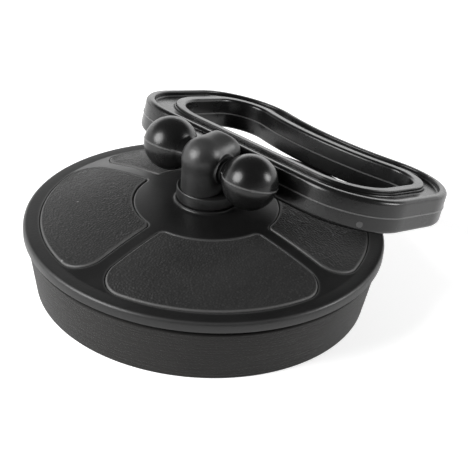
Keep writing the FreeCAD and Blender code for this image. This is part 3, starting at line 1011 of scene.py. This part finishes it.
    def spoke(self, number: int) -> Shell:
        """One upright spoke: a rectangle carried outwards, from a straight lower edge up to the
        middle of the dome's wall.

        Args:
            number: which spoke, from 0.

        Returns:
            The closed surface.
        """
        radii = np.linspace(self.boss_radius - self.spoke_lap, self.seat_radius + self.spoke_lap,
                            self.spoke_rows)
        roof = self.dome.height(radii, -self.wall / 2.0)
        low = np.linspace(self.boss_face + self.spoke_lap, float(roof[-1]) - self.spoke_drop,
                          self.spoke_rows)
        half = self.spoke_half
        across = np.array([-half, -half, -half + 0.3, half - 0.3, half, half])
        share = np.array([1.0, 0.0, 0.0, 0.0, 0.0, 1.0])
        lift = np.array([0.0, 0.3, 0.0, 0.0, 0.3, 0.0])
        height = low[:, None] + (roof - low)[:, None] * share + lift
        x, y = swing(radii[:, None], across, TURN * number / self.spoke_count)
        return closed_grid(np.stack([x, y, height], axis=-1))

    def build(self, shop: Workshop) -> None:
        """Make the plate and dress it.

        Args:
            shop: what its material starts from.
        """
        body, highlight = self.shell()
        spokes = [self.spoke(number) for number in range(self.spoke_count)]
        piece = make_piece("plate_moulding", [body] + spokes)
        rest = sum(len(spoke.points) for spoke in spokes)
        store(piece, Paint.PAINTED_HIGHLIGHT_AND_MARK, np.concatenate([highlight, np.zeros(rest)]))
        fit_piece(piece, Body.PLATE, self.finish.material(shop), ["pressure_plate"])


@dataclass(frozen=True)
class GripPanels:
    """Four leather-grained panels that lie in the plate's recesses."""

    outline: PanelOutline = PanelOutline()
    dome: Dome = Dome()
    depth: float = 1.18
    proud: float = 0.3
    clocking: float = 2.2
    edge_round: float = 0.75
    grain_cell: float = 1.15
    grain_depth: float = 0.21
    grain_gain: float = 1.8
    grain_seed: int = 3
    warp: float = 0.35
    side_length: float = 70.0
    row_crowding: float = 0.15
    rows: int = 128
    columns: int = 250

    def edge_spread(self, count: int, length: float) -> Array:
        """Shares from 0 to 1 that crowd near both ends, where the edge's rounding is.

        Args:
            count: number of shares.
            length: length that they divide, in millimetres.

        Returns:
            The shares, in order.
        """
        crowd = self.edge_round * (1.0 - np.cos(np.linspace(0.0, math.pi / 2.0, 7))) / length
        inner = np.linspace(crowd[-1], 1.0 - crowd[-1], count - 12)
        return np.concatenate([crowd[:-1], inner, 1.0 - crowd[-2::-1]])

    def quarter(self) -> tuple[Array, Array]:
        """Places of the top of a panel in the first quarter.

        P(r, u) = r (cos t, sin t), where t runs with u from the side's angle to its mirror image
        about 45 degrees.

        Returns:
            The two coordinates, each of shape (rows, columns).
        """
        width = self.outline.outer_radius - self.outline.inner_radius
        share = self.edge_spread(self.rows, width)
        mixed = share + (ease(share) - share) * self.row_crowding
        radius = (self.outline.inner_radius + width * mixed)[:, None]
        side = self.outline.side_angle(radius)
        across = self.edge_spread(self.columns, self.side_length)[None, :]
        angle = side + across * (math.pi / 2.0 - 2.0 * side)
        return radius * np.cos(angle), radius * np.sin(angle)

    def shell(self, quarter: int) -> tuple[Shell, Array, Array]:
        """One panel: its grained top, its rounded edge, its wall and its plain underside.

        The top stands above the dome by its proudness and its grain, less the fall of its edge.

        Args:
            quarter: which quarter of the plate, from 0.

        Returns:
            The closed surface, and for each of its points the painted highlight along the edge and
            the height of its pebble, from 0 to 1.
        """
        across, along = self.quarter()
        edge = np.maximum(-self.outline.distance(across, along), 0.0)
        x, y = swing(across, along, math.radians(self.clocking + 90.0 * quarter))
        spots = np.stack([x, y], axis=-1)
        warp = np.stack([np.sin(y * 0.9 + x * 0.3), np.sin(x * 0.8 - y * 0.4)], axis=-1)
        grain = pebbles(spots + self.warp * warp, self.grain_cell, self.grain_seed + quarter)
        crown = np.clip(grain * self.grain_gain, 0.0, 1.0)
        inside = smooth_step(edge, self.edge_round * 0.8, self.edge_round * 1.8)
        lift = (self.proud + (crown - 1.0) * self.grain_depth * inside
                - edge_fall(edge, self.edge_round))
        distance = np.hypot(x, y)
        top = np.stack([x, y, self.dome.height(distance) + lift], axis=-1)
        rim = self.border(top)[:, :2]
        middle = rim.mean(axis=0)
        shares = np.array([1.0, 0.75, 0.5, 0.25, 0.02])[:, None, None]
        under = middle + (rim - middle) * shares
        floor = self.dome.height(np.linalg.norm(under, axis=-1), -self.depth)
        underside = np.concatenate([under, floor[..., None]], axis=-1)
        shell = self.stitch(top, underside)
        # Painted highlight along the rounded edge of the panel.
        highlight = highlight_band(edge, 0.30, 0.42).ravel()
        rest = np.zeros(len(shell.points) - highlight.size)
        return (shell, np.concatenate([highlight, rest]),
                np.concatenate([(crown * inside).ravel(), rest]))

    def border(self, grid: Array) -> Array:
        """Points round the edge of a grid, in order and without repeats."""
        return np.concatenate([grid[0, :-1], grid[:-1, -1], grid[-1, :0:-1], grid[:0:-1, 0]])

    def stitch(self, top: Array, underside: Array) -> Shell:
        """Join the top's grid to the rings of the underside round their common border.

        Args:
            top: grid of shape (rows, columns, 3).
            underside: rings of shape (rings, border, 3), from the edge inwards.

        Returns:
            The closed surface.
        """
        rows, columns = top.shape[:2]
        number = np.arange(rows * columns).reshape(rows, columns)
        quads = np.stack([number[:-1, :-1], number[:-1, 1:], number[1:, 1:], number[1:, :-1]],
                         axis=-1).reshape(-1, 4)
        rings, count = underside.shape[:2]
        lower = rows * columns + np.arange(rings * count).reshape(rings, count)
        chain = np.vstack([self.border(number), lower])
        onward = np.roll(chain, -1, axis=1)
        walls = np.stack([chain[:-1], chain[1:], onward[1:], onward[:-1]],
                         axis=-1).reshape(-1, 4)
        hub = rows * columns + rings * count
        fan = np.stack([chain[-1], np.full(count, hub), onward[-1]], axis=-1)
        points = np.vstack([top.reshape(-1, 3), underside.reshape(-1, 3),
                            underside[-1].mean(axis=0)[None]])
        return Shell(points, (quads, walls, fan)).outward()

    def build(self, shop: Workshop) -> None:
        """Make the four panels and dress them.

        Args:
            shop: what its material starts from.
        """
        material = Leather().material(shop)
        names = ("right", "rear", "left", "front")
        for quarter, name in enumerate(names):
            shell, highlight, crown = self.shell(quarter)
            piece = make_piece("leather_panel_" + name, [shell], crease=60.0)
            store(piece, Paint.PAINTED_HIGHLIGHT_AND_MARK, highlight)
            store(piece, Paint.PEBBLE, crown)
            fit_piece(piece, Body.PLATE, material, ["grip_panel_" + name])


# ---------------------------------------------------------------- stem

@dataclass(frozen=True)
class Stem:
    """Spigot and disc, and the post that bends into a short arm over the hub of the pin."""

    finish: Plastic = Plastic("stem_satin", 0.40, 0.05, 0.00006, 0.55, edge_light=0.035)
    disc_radius: float = 12.7
    disc_top: float = 45.7
    shoulder: float = 40.85
    spigot_radius: float = 6.5
    spigot_end: float = 30.15
    screw_hole: float = 2.52
    screw_depth: float = 14.0
    seal_height: float = 36.5
    seal_groove: float = 1.82
    post_radius: float = 8.6
    post_setting: float = -3.7
    bend_height: float = 59.4
    arm_radius: float = 8.2
    arm_height: float = 60.0
    arm_reach: float = 6.0
    arm_sweep: float = 13.3
    arm_balls: int = 80
    hub_radius: float = 6.2
    hub_half: float = 9.5
    heart: Triple = (0.0, 0.3, 57.3)
    bend_sharpness: float = 2.2
    arm_sharpness: float = 2.5
    hub_sharpness: float = 3.0
    post_root: float = 1.0
    highlight_from: float = 61.0
    highlight_full: float = 67.5
    foot_columns: int = 180
    columns: int = 240
    rows: int = 200

    def foot(self) -> Shell:
        """Turned spigot and disc, with the seal's groove and the screw's blind hole.

        Returns:
            The closed surface.
        """
        half = self.seal_groove / 2.0
        groove = self.spigot_radius - self.seal_groove
        hole_top = self.spigot_end + self.screw_depth
        outline = rounded_outline([
            (0.3, hole_top, 0.01), (self.screw_hole, hole_top, 0.1),
            (self.screw_hole, self.spigot_end, 0.2), (self.spigot_radius, self.spigot_end, 0.4),
            (self.spigot_radius, self.seal_height - half, 0.1),
            (groove, self.seal_height - half, 0.1), (groove, self.seal_height + half, 0.1),
            (self.spigot_radius, self.seal_height + half, 0.1),
            (self.spigot_radius, self.shoulder, 0.2), (self.disc_radius, self.shoulder, 0.35),
            (self.disc_radius, self.disc_top, 0.55), (0.3, self.disc_top, 0.01)])
        return closed_grid(turned_grid(outline, self.foot_columns))

    def ball_exit(self, way: Array, centre: Triple, radius: float) -> Array:
        """How far from the heart a ray leaves a ball: -b + sqrt(b^2 - |h - c|^2 + r^2), where b is
        the ray's direction . (h - c).

        Args:
            way: directions of the rays, of shape (..., 3).
            centre: middle of the ball.
            radius: its radius.

        Returns:
            Distances of shape (...).
        """
        offset = np.array(self.heart) - np.array(centre)
        along = way @ offset
        return -along + np.sqrt(np.maximum(along ** 2 - offset @ offset + radius ** 2, 0.0))

    def rod_exit(self, way: Array, centre: Triple, radius: float,
                 axis: int) -> Array:
        """How far from the heart a ray leaves an endless rod along one axis: the ball's formula in
        the other two coordinates, over the ray's share in them.

        Args:
            way: directions of the rays, of shape (..., 3).
            centre: a point on the rod's axis.
            radius: its radius.
            axis: number of the axis that it runs along.

        Returns:
            Distances of shape (...).
        """
        level = [number for number in range(3) if number != axis]
        offset = (np.array(self.heart) - np.array(centre))[level]
        flat = way[..., level]
        square = np.maximum((flat ** 2).sum(axis=-1), 1e-9)
        along = flat @ offset
        inside = along ** 2 - square * (offset @ offset - radius ** 2)
        return (-along + np.sqrt(np.maximum(inside, 0.0))) / square

    def post_exit(self, way: Array) -> Array:
        """How far from the heart a ray leaves the post: an upright rod's distance below the bend's
        height, and above it the distance of the ball that ends the rod.

        Args:
            way: directions of the rays, of shape (..., 3).

        Returns:
            Distances of shape (...).
        """
        centre = (0.0, self.post_setting, self.bend_height)
        rod = self.rod_exit(way, centre, self.post_radius, 2)
        past = self.heart[2] + rod * way[..., 2] - self.bend_height > 0.0
        return np.where(past, self.ball_exit(way, centre, self.post_radius), rod)

    def arm_exit(self, way: Array) -> Array:
        """How far from the heart a ray leaves the arm: the greatest exit over balls whose middle
        and radius run evenly from the bend's to the arm's end.

        Args:
            way: directions of the rays, of shape (..., 3).

        Returns:
            Distances of shape (...).
        """
        reach = np.zeros(way.shape[:-1])
        for share in np.linspace(0.0, 1.0, self.arm_balls):
            centre = (0.0, self.post_setting + share * (self.arm_reach - self.post_setting),
                      self.bend_height + share * (self.arm_height - self.bend_height))
            radius = self.post_radius + share * (self.arm_radius - self.post_radius)
            reach = np.maximum(reach, self.ball_exit(way, centre, radius))
        return reach

    def soft_union(self, reaches: Sequence[Array], sharpness: float) -> Array:
        """Greatest of several distances with its creases filled: log(sum(exp(k d))) / k.

        Args:
            reaches: distances of one shape.
            sharpness: k, which is greater for narrower fillets.

        Returns:
            Distances of that shape.
        """
        stack = np.stack(reaches)
        top = stack.max(axis=0)
        return top + np.log(np.exp(sharpness * (stack - top)).sum(axis=0)) / sharpness

    def elbow(self) -> Shell:
        """Post, bend, arm and hub as one surface: along each direction from the heart, which lies
        inside all of them, the soft union of where the ray leaves each.

        Returns:
            The closed surface.
        """
        lean = np.linspace(0.0, math.pi, self.rows + 2)[1:-1, None]
        angle = (np.arange(self.columns) * TURN / self.columns)[None, :]
        way = polar_grid(np.sin(lean), angle, np.cos(lean))
        hinge = (0.0, 0.0, HINGE_HEIGHT)
        blunt = self.rod_exit(way, hinge, self.arm_sweep, 0)
        arm = -self.soft_union([-self.arm_exit(way), -blunt], self.arm_sharpness)
        side = self.hub_half / np.maximum(np.abs(way[..., 0]), NEARLY_NOTHING)
        hub = np.minimum(self.rod_exit(way, hinge, self.hub_radius, 0), side)
        bend = self.soft_union([self.post_exit(way), arm], self.bend_sharpness)
        reach = self.soft_union([bend, hub], self.hub_sharpness)
        low = self.disc_top - self.post_root - self.heart[2]
        floor = low / np.minimum(way[..., 2], -NEARLY_NOTHING)
        reach = np.where(way[..., 2] < 0.0, np.minimum(reach, floor), reach)
        return closed_grid(np.array(self.heart) + way * reach[..., None])

    def build(self, shop: Workshop) -> None:
        """Make the stem, with a painted highlight growing towards the top of its head, and dress it.

        Args:
            shop: what its material starts from.
        """
        shells = [self.foot(), self.elbow()]
        piece = make_piece("stem_moulding", shells, crease=35.0)
        height = np.concatenate([shell.points[:, 2] for shell in shells])
        # Painted highlight: the head's top is painted lighter with height.
        store(piece, Paint.PAINTED_HIGHLIGHT_AND_MARK, smooth_step(height, self.highlight_from, self.highlight_full))
        fit_piece(piece, Body.STEM, self.finish.material(shop), ["stem"])


# ---------------------------------------------------------------- loop handle

@dataclass(frozen=True)
class LoopHandle:
    """Loop of I-section with two lugs and two ball knuckles, drooping from the cross pin."""

    finish: Plastic = Plastic("handle_gloss", 0.26, 0.04, 0.00003, 0.38, peel_scale=700.0,
                              edge_light=0.1)
    droop: float = 14.5
    half_length: float = 69.5
    setback: float = 13.5
    width: float = 81.0
    corner: float = 29.0
    waist_depth: float = 6.5
    half_height: float = 7.0
    web_half: float = 4.5
    groove_start: float = 3.6
    groove_end: float = 10.2
    opening: float = 15.2
    opening_round: float = 20.5
    ball_radius: float = 11.3
    ball_offset: float = 22.3
    face_offset: float = 10.65
    face_radius: float = 5.0
    bush_radius: float = 4.22
    bush_end: float = 19.65
    pin_bore: float = 3.05
    pin_end: float = 21.15
    seam_half: float = 0.32
    seam_height: float = 0.24
    hold_gap: float = 0.015
    arc_step: float = 0.9
    run_step: float = 1.5
    ball_rows: int = 60
    ball_pole: float = 0.03
    bore_steps: int = 3
    ball_columns: int = 160
    lug_rows: tuple[float, ...] = (4.45, 5.5, 6.2, 6.8, 7.4, 8.0, 8.6, 10.0, 12.0, 14.0, 15.3)
    lug_width: float = 12.0
    lug_outer: float = 24.5
    lug_half: float = 5.5
    lug_round: float = 1.2
    lug_step: float = 1.6
    lug_step_from: float = 6.6
    lug_step_full: float = 8.2
    mark_angle: float = -42.0
    mark_level: float = -3.9
    mark_radius: float = 1.35
    mark_height: float = 0.14
    mark_root: float = 0.5
    mark_columns: int = 36
    mark_paleness: float = 0.55

    def arc(self, centre: Pair, radius: float, start: float,
            stop: float) -> tuple[Array, Array]:
        """Points and outward normals of an arc, in degrees; a negative radius is a hollow.

        Args:
            centre: middle of the arc.
            radius: its radius.
            start: angle of its first point.
            stop: angle just past its last point.

        Returns:
            Points and normals, each of shape (points, 2).
        """
        count = max(2, round(math.radians(abs(stop - start)) * abs(radius) / self.arc_step))
        angle = np.radians(np.linspace(start, stop, count, endpoint=False))
        ray = np.stack([np.cos(angle), np.sin(angle)], axis=-1)
        return np.array(centre) + abs(radius) * ray, ray * math.copysign(1.0, radius)

    def run(self, start: Pair, stop: Pair) -> tuple[Array, Array]:
        """Points and outward normals of a straight run, with the outside to its right.

        Args:
            start: first point.
            stop: point just past the last.

        Returns:
            Points and normals, each of shape (points, 2).
        """
        count = max(2, round(math.dist(start, stop) / self.run_step))
        share = np.linspace(0.0, 1.0, count, endpoint=False)[:, None]
        way = (np.array(stop) - np.array(start)) / math.dist(start, stop)
        normal = np.broadcast_to(np.array([way[1], -way[0]]), (count, 2))
        return np.array(start) + (np.array(stop) - np.array(start)) * share, normal

    def rail(self) -> tuple[Array, Array]:
        """The loop's outline: straight side, round ends, two lobes and the waist between them.

        The waist's arc has radius (a^2 + (q - w)^2 - q^2) / (2 w), where q is the lobes' radius, w
        the waist's depth and a the distance of the lobes' centres from the middle.

        Returns:
            Points and outward normals, each of shape (points, 2).
        """
        side = self.half_length - self.corner
        near = self.setback + self.corner
        far = self.setback + self.width - self.corner
        waist = ((side ** 2 + (self.corner - self.waist_depth) ** 2 - self.corner ** 2)
                 / (2.0 * self.waist_depth))
        back = far + self.corner - self.waist_depth + waist
        lean = math.degrees(math.atan2(back - far, side))
        parts = [
            self.run((-side, self.setback), (side, self.setback)),
            self.arc((side, near), self.corner, -90.0, 0.0),
            self.run((self.half_length, near), (self.half_length, far)),
            self.arc((side, far), self.corner, 0.0, 180.0 - lean),
            self.arc((0.0, back), -waist, -lean, lean - 180.0),
            self.arc((-side, far), self.corner, lean, 180.0),
            self.run((-self.half_length, far), (-self.half_length, near)),
            self.arc((-side, near), self.corner, 180.0, 270.0),
        ]
        return np.concatenate([p for p, _ in parts]), np.concatenate([n for _, n in parts])

    def section(self) -> Array:
        """I-section as (inset, height), with rounded flanges and a seam half way up each wall.

        A point that is hardly off each wall's line, just above the seam, keeps the seam's shading
        narrow.

        Returns:
            Points of shape (points, 2).
        """
        top, web, seam = self.half_height, self.web_half, self.seam_half
        upper = [
            (-self.seam_height, seam * 0.4, 0.05), (0.0, seam, 0.03),
            (self.hold_gap, seam + 0.2, 0.02), (0.0, top, 1.9), (self.groove_start, top, 0.7),
            (self.groove_start, web, 0.8), (self.groove_end, web, 0.8),
            (self.groove_end, top - 1.3, 0.12), (self.groove_end + 0.35, top - 1.15, 0.12),
            (self.groove_end + 0.45, top, 0.5), (self.opening, top, 1.3),
            (self.opening - self.hold_gap, seam + 0.2, 0.02), (self.opening, seam, 0.03),
            (self.opening + self.seam_height, seam * 0.4, 0.05),
        ]
        lower = [(inset, -height, rounding) for inset, height, rounding in reversed(upper)]
        return rounded_outline(upper + lower)

    def settle(self, points: Array) -> Array:
        """Turn the level loop down by its droop about the pin, and lift it to the pin's height:
        y' = y cos + z sin, z' = H - y sin + z cos.

        Args:
            points: points of shape (..., 3), level and about the pin.

        Returns:
            The points in the model's frame.
        """
        y, z = swing(points[..., 1], points[..., 2], -math.radians(self.droop))
        return np.stack([points[..., 0], y, HINGE_HEIGHT + z], axis=-1)

    def fill(self, rail: Array, normal: Array) -> Array:
        """How far the opening's side must stand further in for a larger rounding at the two front
        corners: from P along -n to the circle of radius q about C it is
        n . (P - C) - sqrt((n . (P - C))^2 - |P - C|^2 + q^2).

        Args:
            rail: points of the outline.
            normal: outward normal at each.

        Returns:
            One length for each point.
        """
        move = self.opening_round - (self.corner - self.opening)
        sides = np.where(rail[:, 0] < 0.0, -1.0, 1.0)
        centre = np.stack([sides * (self.half_length - self.corner - move),
                           np.full(len(rail), self.setback + self.corner + move)], axis=-1)
        offset = rail - self.opening * normal - centre
        along = (offset * normal).sum(axis=-1)
        square = along ** 2 - (offset ** 2).sum(axis=-1) + self.opening_round ** 2
        corner = (offset[:, 0] * sides > 0.0) & (offset[:, 1] < 0.0)
        return np.where(corner, along - np.sqrt(np.maximum(square, 0.0)), 0.0)

    def walls(self) -> Shell:
        """Carry the section along the outline: P(s, v) = rail(s) - inset(s, v) normal(s), height(v),
        where the opening's side of the section stands further in by the corner's fill.

        Returns:
            The closed surface.
        """
        rail, normal = self.rail()
        section = self.section()
        inward = smooth_step(section[:, 0], self.groove_start + 0.5, self.groove_end - 0.5)
        inset = section[None, :, 0] + self.fill(rail, normal)[:, None] * inward[None, :]
        flat = rail[:, None] - inset[..., None] * normal[:, None]
        height = np.broadcast_to(section[None, :, 1:], (len(rail), len(section), 1))
        return closed_grid(self.settle(np.concatenate([flat, height], axis=-1)), ring=True)

    def knuckle(self, sign: float) -> Shell:
        """Ball with its face beside the hub, its blind stepped bore, and the seam round its middle.

        The outline (radius, distance along the pin) is turned about the pin, and each point of the
        ball near the loop's middle plane is moved out by the seam's height.  The bore's last two
        corners only lead it onto the ball, and are left out.

        Args:
            sign: 1 for the right one, -1 for the left one.

        Returns:
            The closed surface.
        """
        bulge = np.linspace(math.asin(self.face_radius / self.ball_radius) - math.pi,
                            -self.ball_pole, self.ball_rows)
        ball = np.stack([self.ball_radius * np.abs(np.sin(bulge)),
                         self.ball_offset + self.ball_radius * np.cos(bulge)], axis=-1)
        bore = rounded_outline([
            (0.2, self.pin_end, 0.01), (self.pin_bore, self.pin_end, 0.1),
            (self.pin_bore, self.bush_end, 0.1), (self.bush_radius, self.bush_end, 0.1),
            (self.bush_radius, self.face_offset, 0.15), (self.face_radius, self.face_offset, 0.3),
            tuple(ball[0]) + (0.3,), tuple(ball[4]) + (0.01,)], steps=self.bore_steps)
        outline = np.vstack([bore[1:-2 * (self.bore_steps + 1)], ball[3:]])
        edge = self.seam_half / self.ball_radius
        even = np.arange(self.ball_columns) * TURN / self.ball_columns
        seam = np.array([-edge, -0.4 * edge, 0.4 * edge, edge])
        away = np.minimum(np.abs(even), np.minimum(np.abs(even - math.pi), np.abs(even - TURN)))
        angle = np.sort(np.concatenate([even[away > 1.2 * edge], seam % TURN, math.pi + seam]))
        radius, along = outline[:, :1], np.broadcast_to(outline[:, 1:], (len(outline), len(angle)))
        y, z = radius * np.cos(angle), radius * np.sin(angle)
        ridge = np.clip((edge - np.abs(np.sin(angle))) / (0.6 * edge), 0.0, 1.0)[None, :]
        out = smooth_step(radius, self.face_radius + 0.8, self.face_radius + 2.0)
        swell = 1.0 + ridge * out * self.seam_height / self.ball_radius
        x = self.ball_offset + (along - self.ball_offset) * swell
        return closed_grid(self.settle(np.stack([sign * x, y * swell, z * swell], axis=-1)))

    def lug(self, sign: float) -> Shell:
        """Lug between a knuckle and the loop: a rounded block carried away from the pin, whose
        inner side steps in once it is clear of the hub.

        Args:
            sign: 1 for the right one, -1 for the left one.

        Returns:
            The closed surface.
        """
        along = np.array(self.lug_rows)
        inner = (self.face_offset + 0.15
                 - self.lug_step * smooth_step(along, self.lug_step_from, self.lug_step_full))
        wide, half, rounding = self.lug_width, self.lug_half, self.lug_round
        section = rounded_outline([(0.0, -half, rounding), (wide, -half, rounding),
                                   (wide, half, rounding), (0.0, half, rounding)])
        share = section[:, 0] / wide
        x = inner[:, None] + (self.lug_outer - inner[:, None]) * share[None, :]
        block = np.broadcast_arrays(sign * x, along[:, None], section[None, :, 1])
        return closed_grid(self.settle(np.stack(block, axis=-1)))

    def mark(self) -> Shell:
        """Small round mark on the front wall's right corner: a low button on the wall, its axis
        along the wall's normal n: P = W + x t + y z + h n.

        Returns:
            The closed surface.
        """
        turn = math.radians(self.mark_angle)
        normal = np.array([math.cos(turn), math.sin(turn), 0.0])
        side = np.array([-normal[1], normal[0], 0.0])
        middle = np.array([self.half_length - self.corner, self.setback + self.corner,
                           self.mark_level]) + self.corner * normal
        outline = rounded_outline([
            (0.1, -self.mark_root, 0.01), (self.mark_radius, -self.mark_root, 0.01),
            (self.mark_radius, self.mark_height, 0.12), (0.1, self.mark_height, 0.01)])
        spot = turned_grid(outline, self.mark_columns)
        points = (middle + spot[..., :1] * side + spot[..., 1:2] * np.array([0.0, 0.0, 1.0])
                  + spot[..., 2:] * normal)
        return closed_grid(self.settle(points))

    def build(self, shop: Workshop) -> None:
        """Make the loop, paint a highlight along its seam and paint its mark paler, and dress it.

        Args:
            shop: what its material starts from.
        """
        shells = [self.walls()] + [make(sign) for make in (self.lug, self.knuckle)
                                   for sign in (1.0, -1.0)]
        mark = self.mark()
        piece = make_piece("loop_moulding", shells + [mark], crease=32.0)
        points = np.concatenate([shell.points for shell in shells])
        _, level = swing(points[:, 1], points[:, 2] - HINGE_HEIGHT, math.radians(self.droop))
        # Painted highlight: the seam's band is painted lighter; the mark is painted paler.
        seam = (np.abs(level) < self.seam_half).astype(float)
        store(piece, Paint.PAINTED_HIGHLIGHT_AND_MARK, np.concatenate([seam, np.full(len(mark.points), self.mark_paleness)]))
        fit_piece(piece, Body.LOOP, self.finish.material(shop), ["loop_handle"])


HINGE_HEIGHT = next(joint["pos_m"][2] for joint in frame["joints"]
                    if joint["name"] == "handle_tilt") / MILLIMETRE


# ---------------------------------------------------------------- scene

@dataclass(frozen=True)
class Lamp:
    """One soft round lamp, aimed at the plunger."""

    name: str
    direction: Triple
    distance: float
    width: float
    power: float

    def hang(self, target: Vector) -> None:
        """Hang the lamp at its distance from the target, facing it.

        Args:
            target: what it is aimed at, in metres.
        """
        data = bpy.data.lights.new(self.name, "AREA")
        data.shape, data.size, data.energy = "DISK", self.width, self.power
        lamp = place_object(self.name, data)
        way = Vector(self.direction).normalized()
        lamp.location = target + way * self.distance
        lamp.rotation_euler = way.to_track_quat("Z", "Y").to_euler()


@dataclass(frozen=True)
class Studio:
    """Pale floor, soft light and the camera."""

    place: Triple = (0.28537, -0.31548, 0.27347)
    azimuth: float = 40.40
    elevation: float = 30.48
    roll: float = 4.917
    lens: float = 90.016
    wall_top: float = 0.2
    ceiling_low: float = 0.52
    wall_light: float = 1.3
    ceiling_light: float = 0.07
    front: Triple = (0.648, -0.762, 0.0)
    front_light: float = 0.12
    back_light: float = 1.6
    front_edge: float = 0.9
    floor_half: float = 6.0
    floor_glow: float = 0.55
    lamp_target: Triple = (0.0, 0.02, 0.035)
    lamps: tuple[Lamp, ...] = (
        Lamp("key", (-0.35, -0.80, 0.48), 0.9, 0.58, 11.0),
        Lamp("side", (0.72, 0.54, 0.41), 0.9, 0.36, 4.2),
    )

    def set_camera(self) -> None:
        """Place the camera, looking back along its azimuth and elevation, with a slight roll."""
        around, above = math.radians(self.azimuth), math.radians(self.elevation)
        back = Vector((math.sin(around) * math.cos(above), -math.cos(around) * math.cos(above),
                       math.sin(above)))
        right = Vector((math.cos(around), math.sin(around), 0.0))
        up = back.cross(right)
        tilt = math.radians(self.roll)
        across = right * math.cos(tilt) + up * math.sin(tilt)
        upward = up * math.cos(tilt) - right * math.sin(tilt)
        data = bpy.data.cameras.new("studio_camera")
        data.lens, data.sensor_width = self.lens, 36.0
        data.clip_start, data.clip_end = 0.01, 20.0
        camera = place_object("studio_camera", data)
        turn = Matrix((across, upward, back)).transposed().to_4x4()
        camera.matrix_world = Matrix.Translation(Vector(self.place)) @ turn
        bpy.context.scene.camera = camera

    def lay_floor(self) -> None:
        """Plain pale floor that runs far past the view."""
        mesh = bpy.data.meshes.new("floor")
        half = self.floor_half
        mesh.from_pydata([(-half, -half, 0), (half, -half, 0), (half, half, 0), (-half, half, 0)],
                         [], [(0, 1, 2, 3)])
        bench, shader = start_material("pale_floor")
        bench.feed(shader, {"Base Color": grey(0.93), "Roughness": 0.9, "Specular IOR Level": 0.1,
                            "Emission Color": grey(1.0), "Emission Strength": self.floor_glow})
        mesh.materials.append(bpy.data.materials["pale_floor"])
        place_object("floor", mesh)

    def light(self) -> None:
        """White surroundings and the lamps."""
        scene = bpy.context.scene
        scene.view_settings.view_transform = "Standard"
        world = bpy.data.worlds.new("studio")
        world.use_nodes = True
        bench = Bench(world.node_tree)
        place = bench.add("TexCoord").outputs["Generated"]
        height = bench.add("SeparateXYZ", {0: place}).outputs["Z"]
        fall = bench.add("MapRange", {0: height, 1: self.wall_top, 2: self.ceiling_low,
                                      3: self.wall_light, 4: self.ceiling_light},
                         interpolation_type="SMOOTHSTEP")
        facing = bench.add("VectorMath", {0: place, 1: self.front}, operation="DOT_PRODUCT")
        dim = bench.spread(facing.outputs["Value"], -self.front_edge, self.front_edge,
                           self.back_light, self.front_light)
        strength = bench.calculate("MULTIPLY", fall.outputs[0], dim)
        bench.feed(world.node_tree.nodes["Background"], {0: grey(1.0), 1: strength})
        scene.world = world
        for lamp in self.lamps:
            lamp.hang(Vector(self.lamp_target))

    def build(self) -> None:
        """Set up the whole studio."""
        self.set_camera()
        self.lay_floor()
        self.light()


def dress_hardware(shop: Workshop) -> None:
    """Give the CAD nodes that keep their shape their materials.

    Args:
        shop: what their materials start from.
    """
    nylon = Plastic("nylon_washer", 0.8, 0.06, 0.00002, 0.2, dark=0.004, light=0.007,
                    speck_share=0.0)
    rubber = Plastic("seal_black", 0.62, 0.06, 0.00002, dark=0.010, light=0.016, speck_share=0.0)
    for finish, names in ((TurnedSteel(), ("retaining_washer", "retaining_screw", "cross_pin")),
                          (nylon, ("swivel_washer", "pivot_washers", "pivot_bushes")),
                          (rubber, ("stem_seal",))):
        material = finish.material(shop)
        for name in names:
            dress_node(name, material)


def main() -> None:
    """Build the plunger from the floor up, then the studio round it."""
    logging.basicConfig(level=logging.INFO, format="%(message)s")
    shop = Workshop(moulded_skin(), dust_specks())
    dress_hardware(shop)
    for assembly in (SpongeRing(), PressurePlate(), GripPanels(), Stem(), LoopHandle()):
        assembly.build(shop)
    Studio().build()


if __name__ == "__main__":
    main()
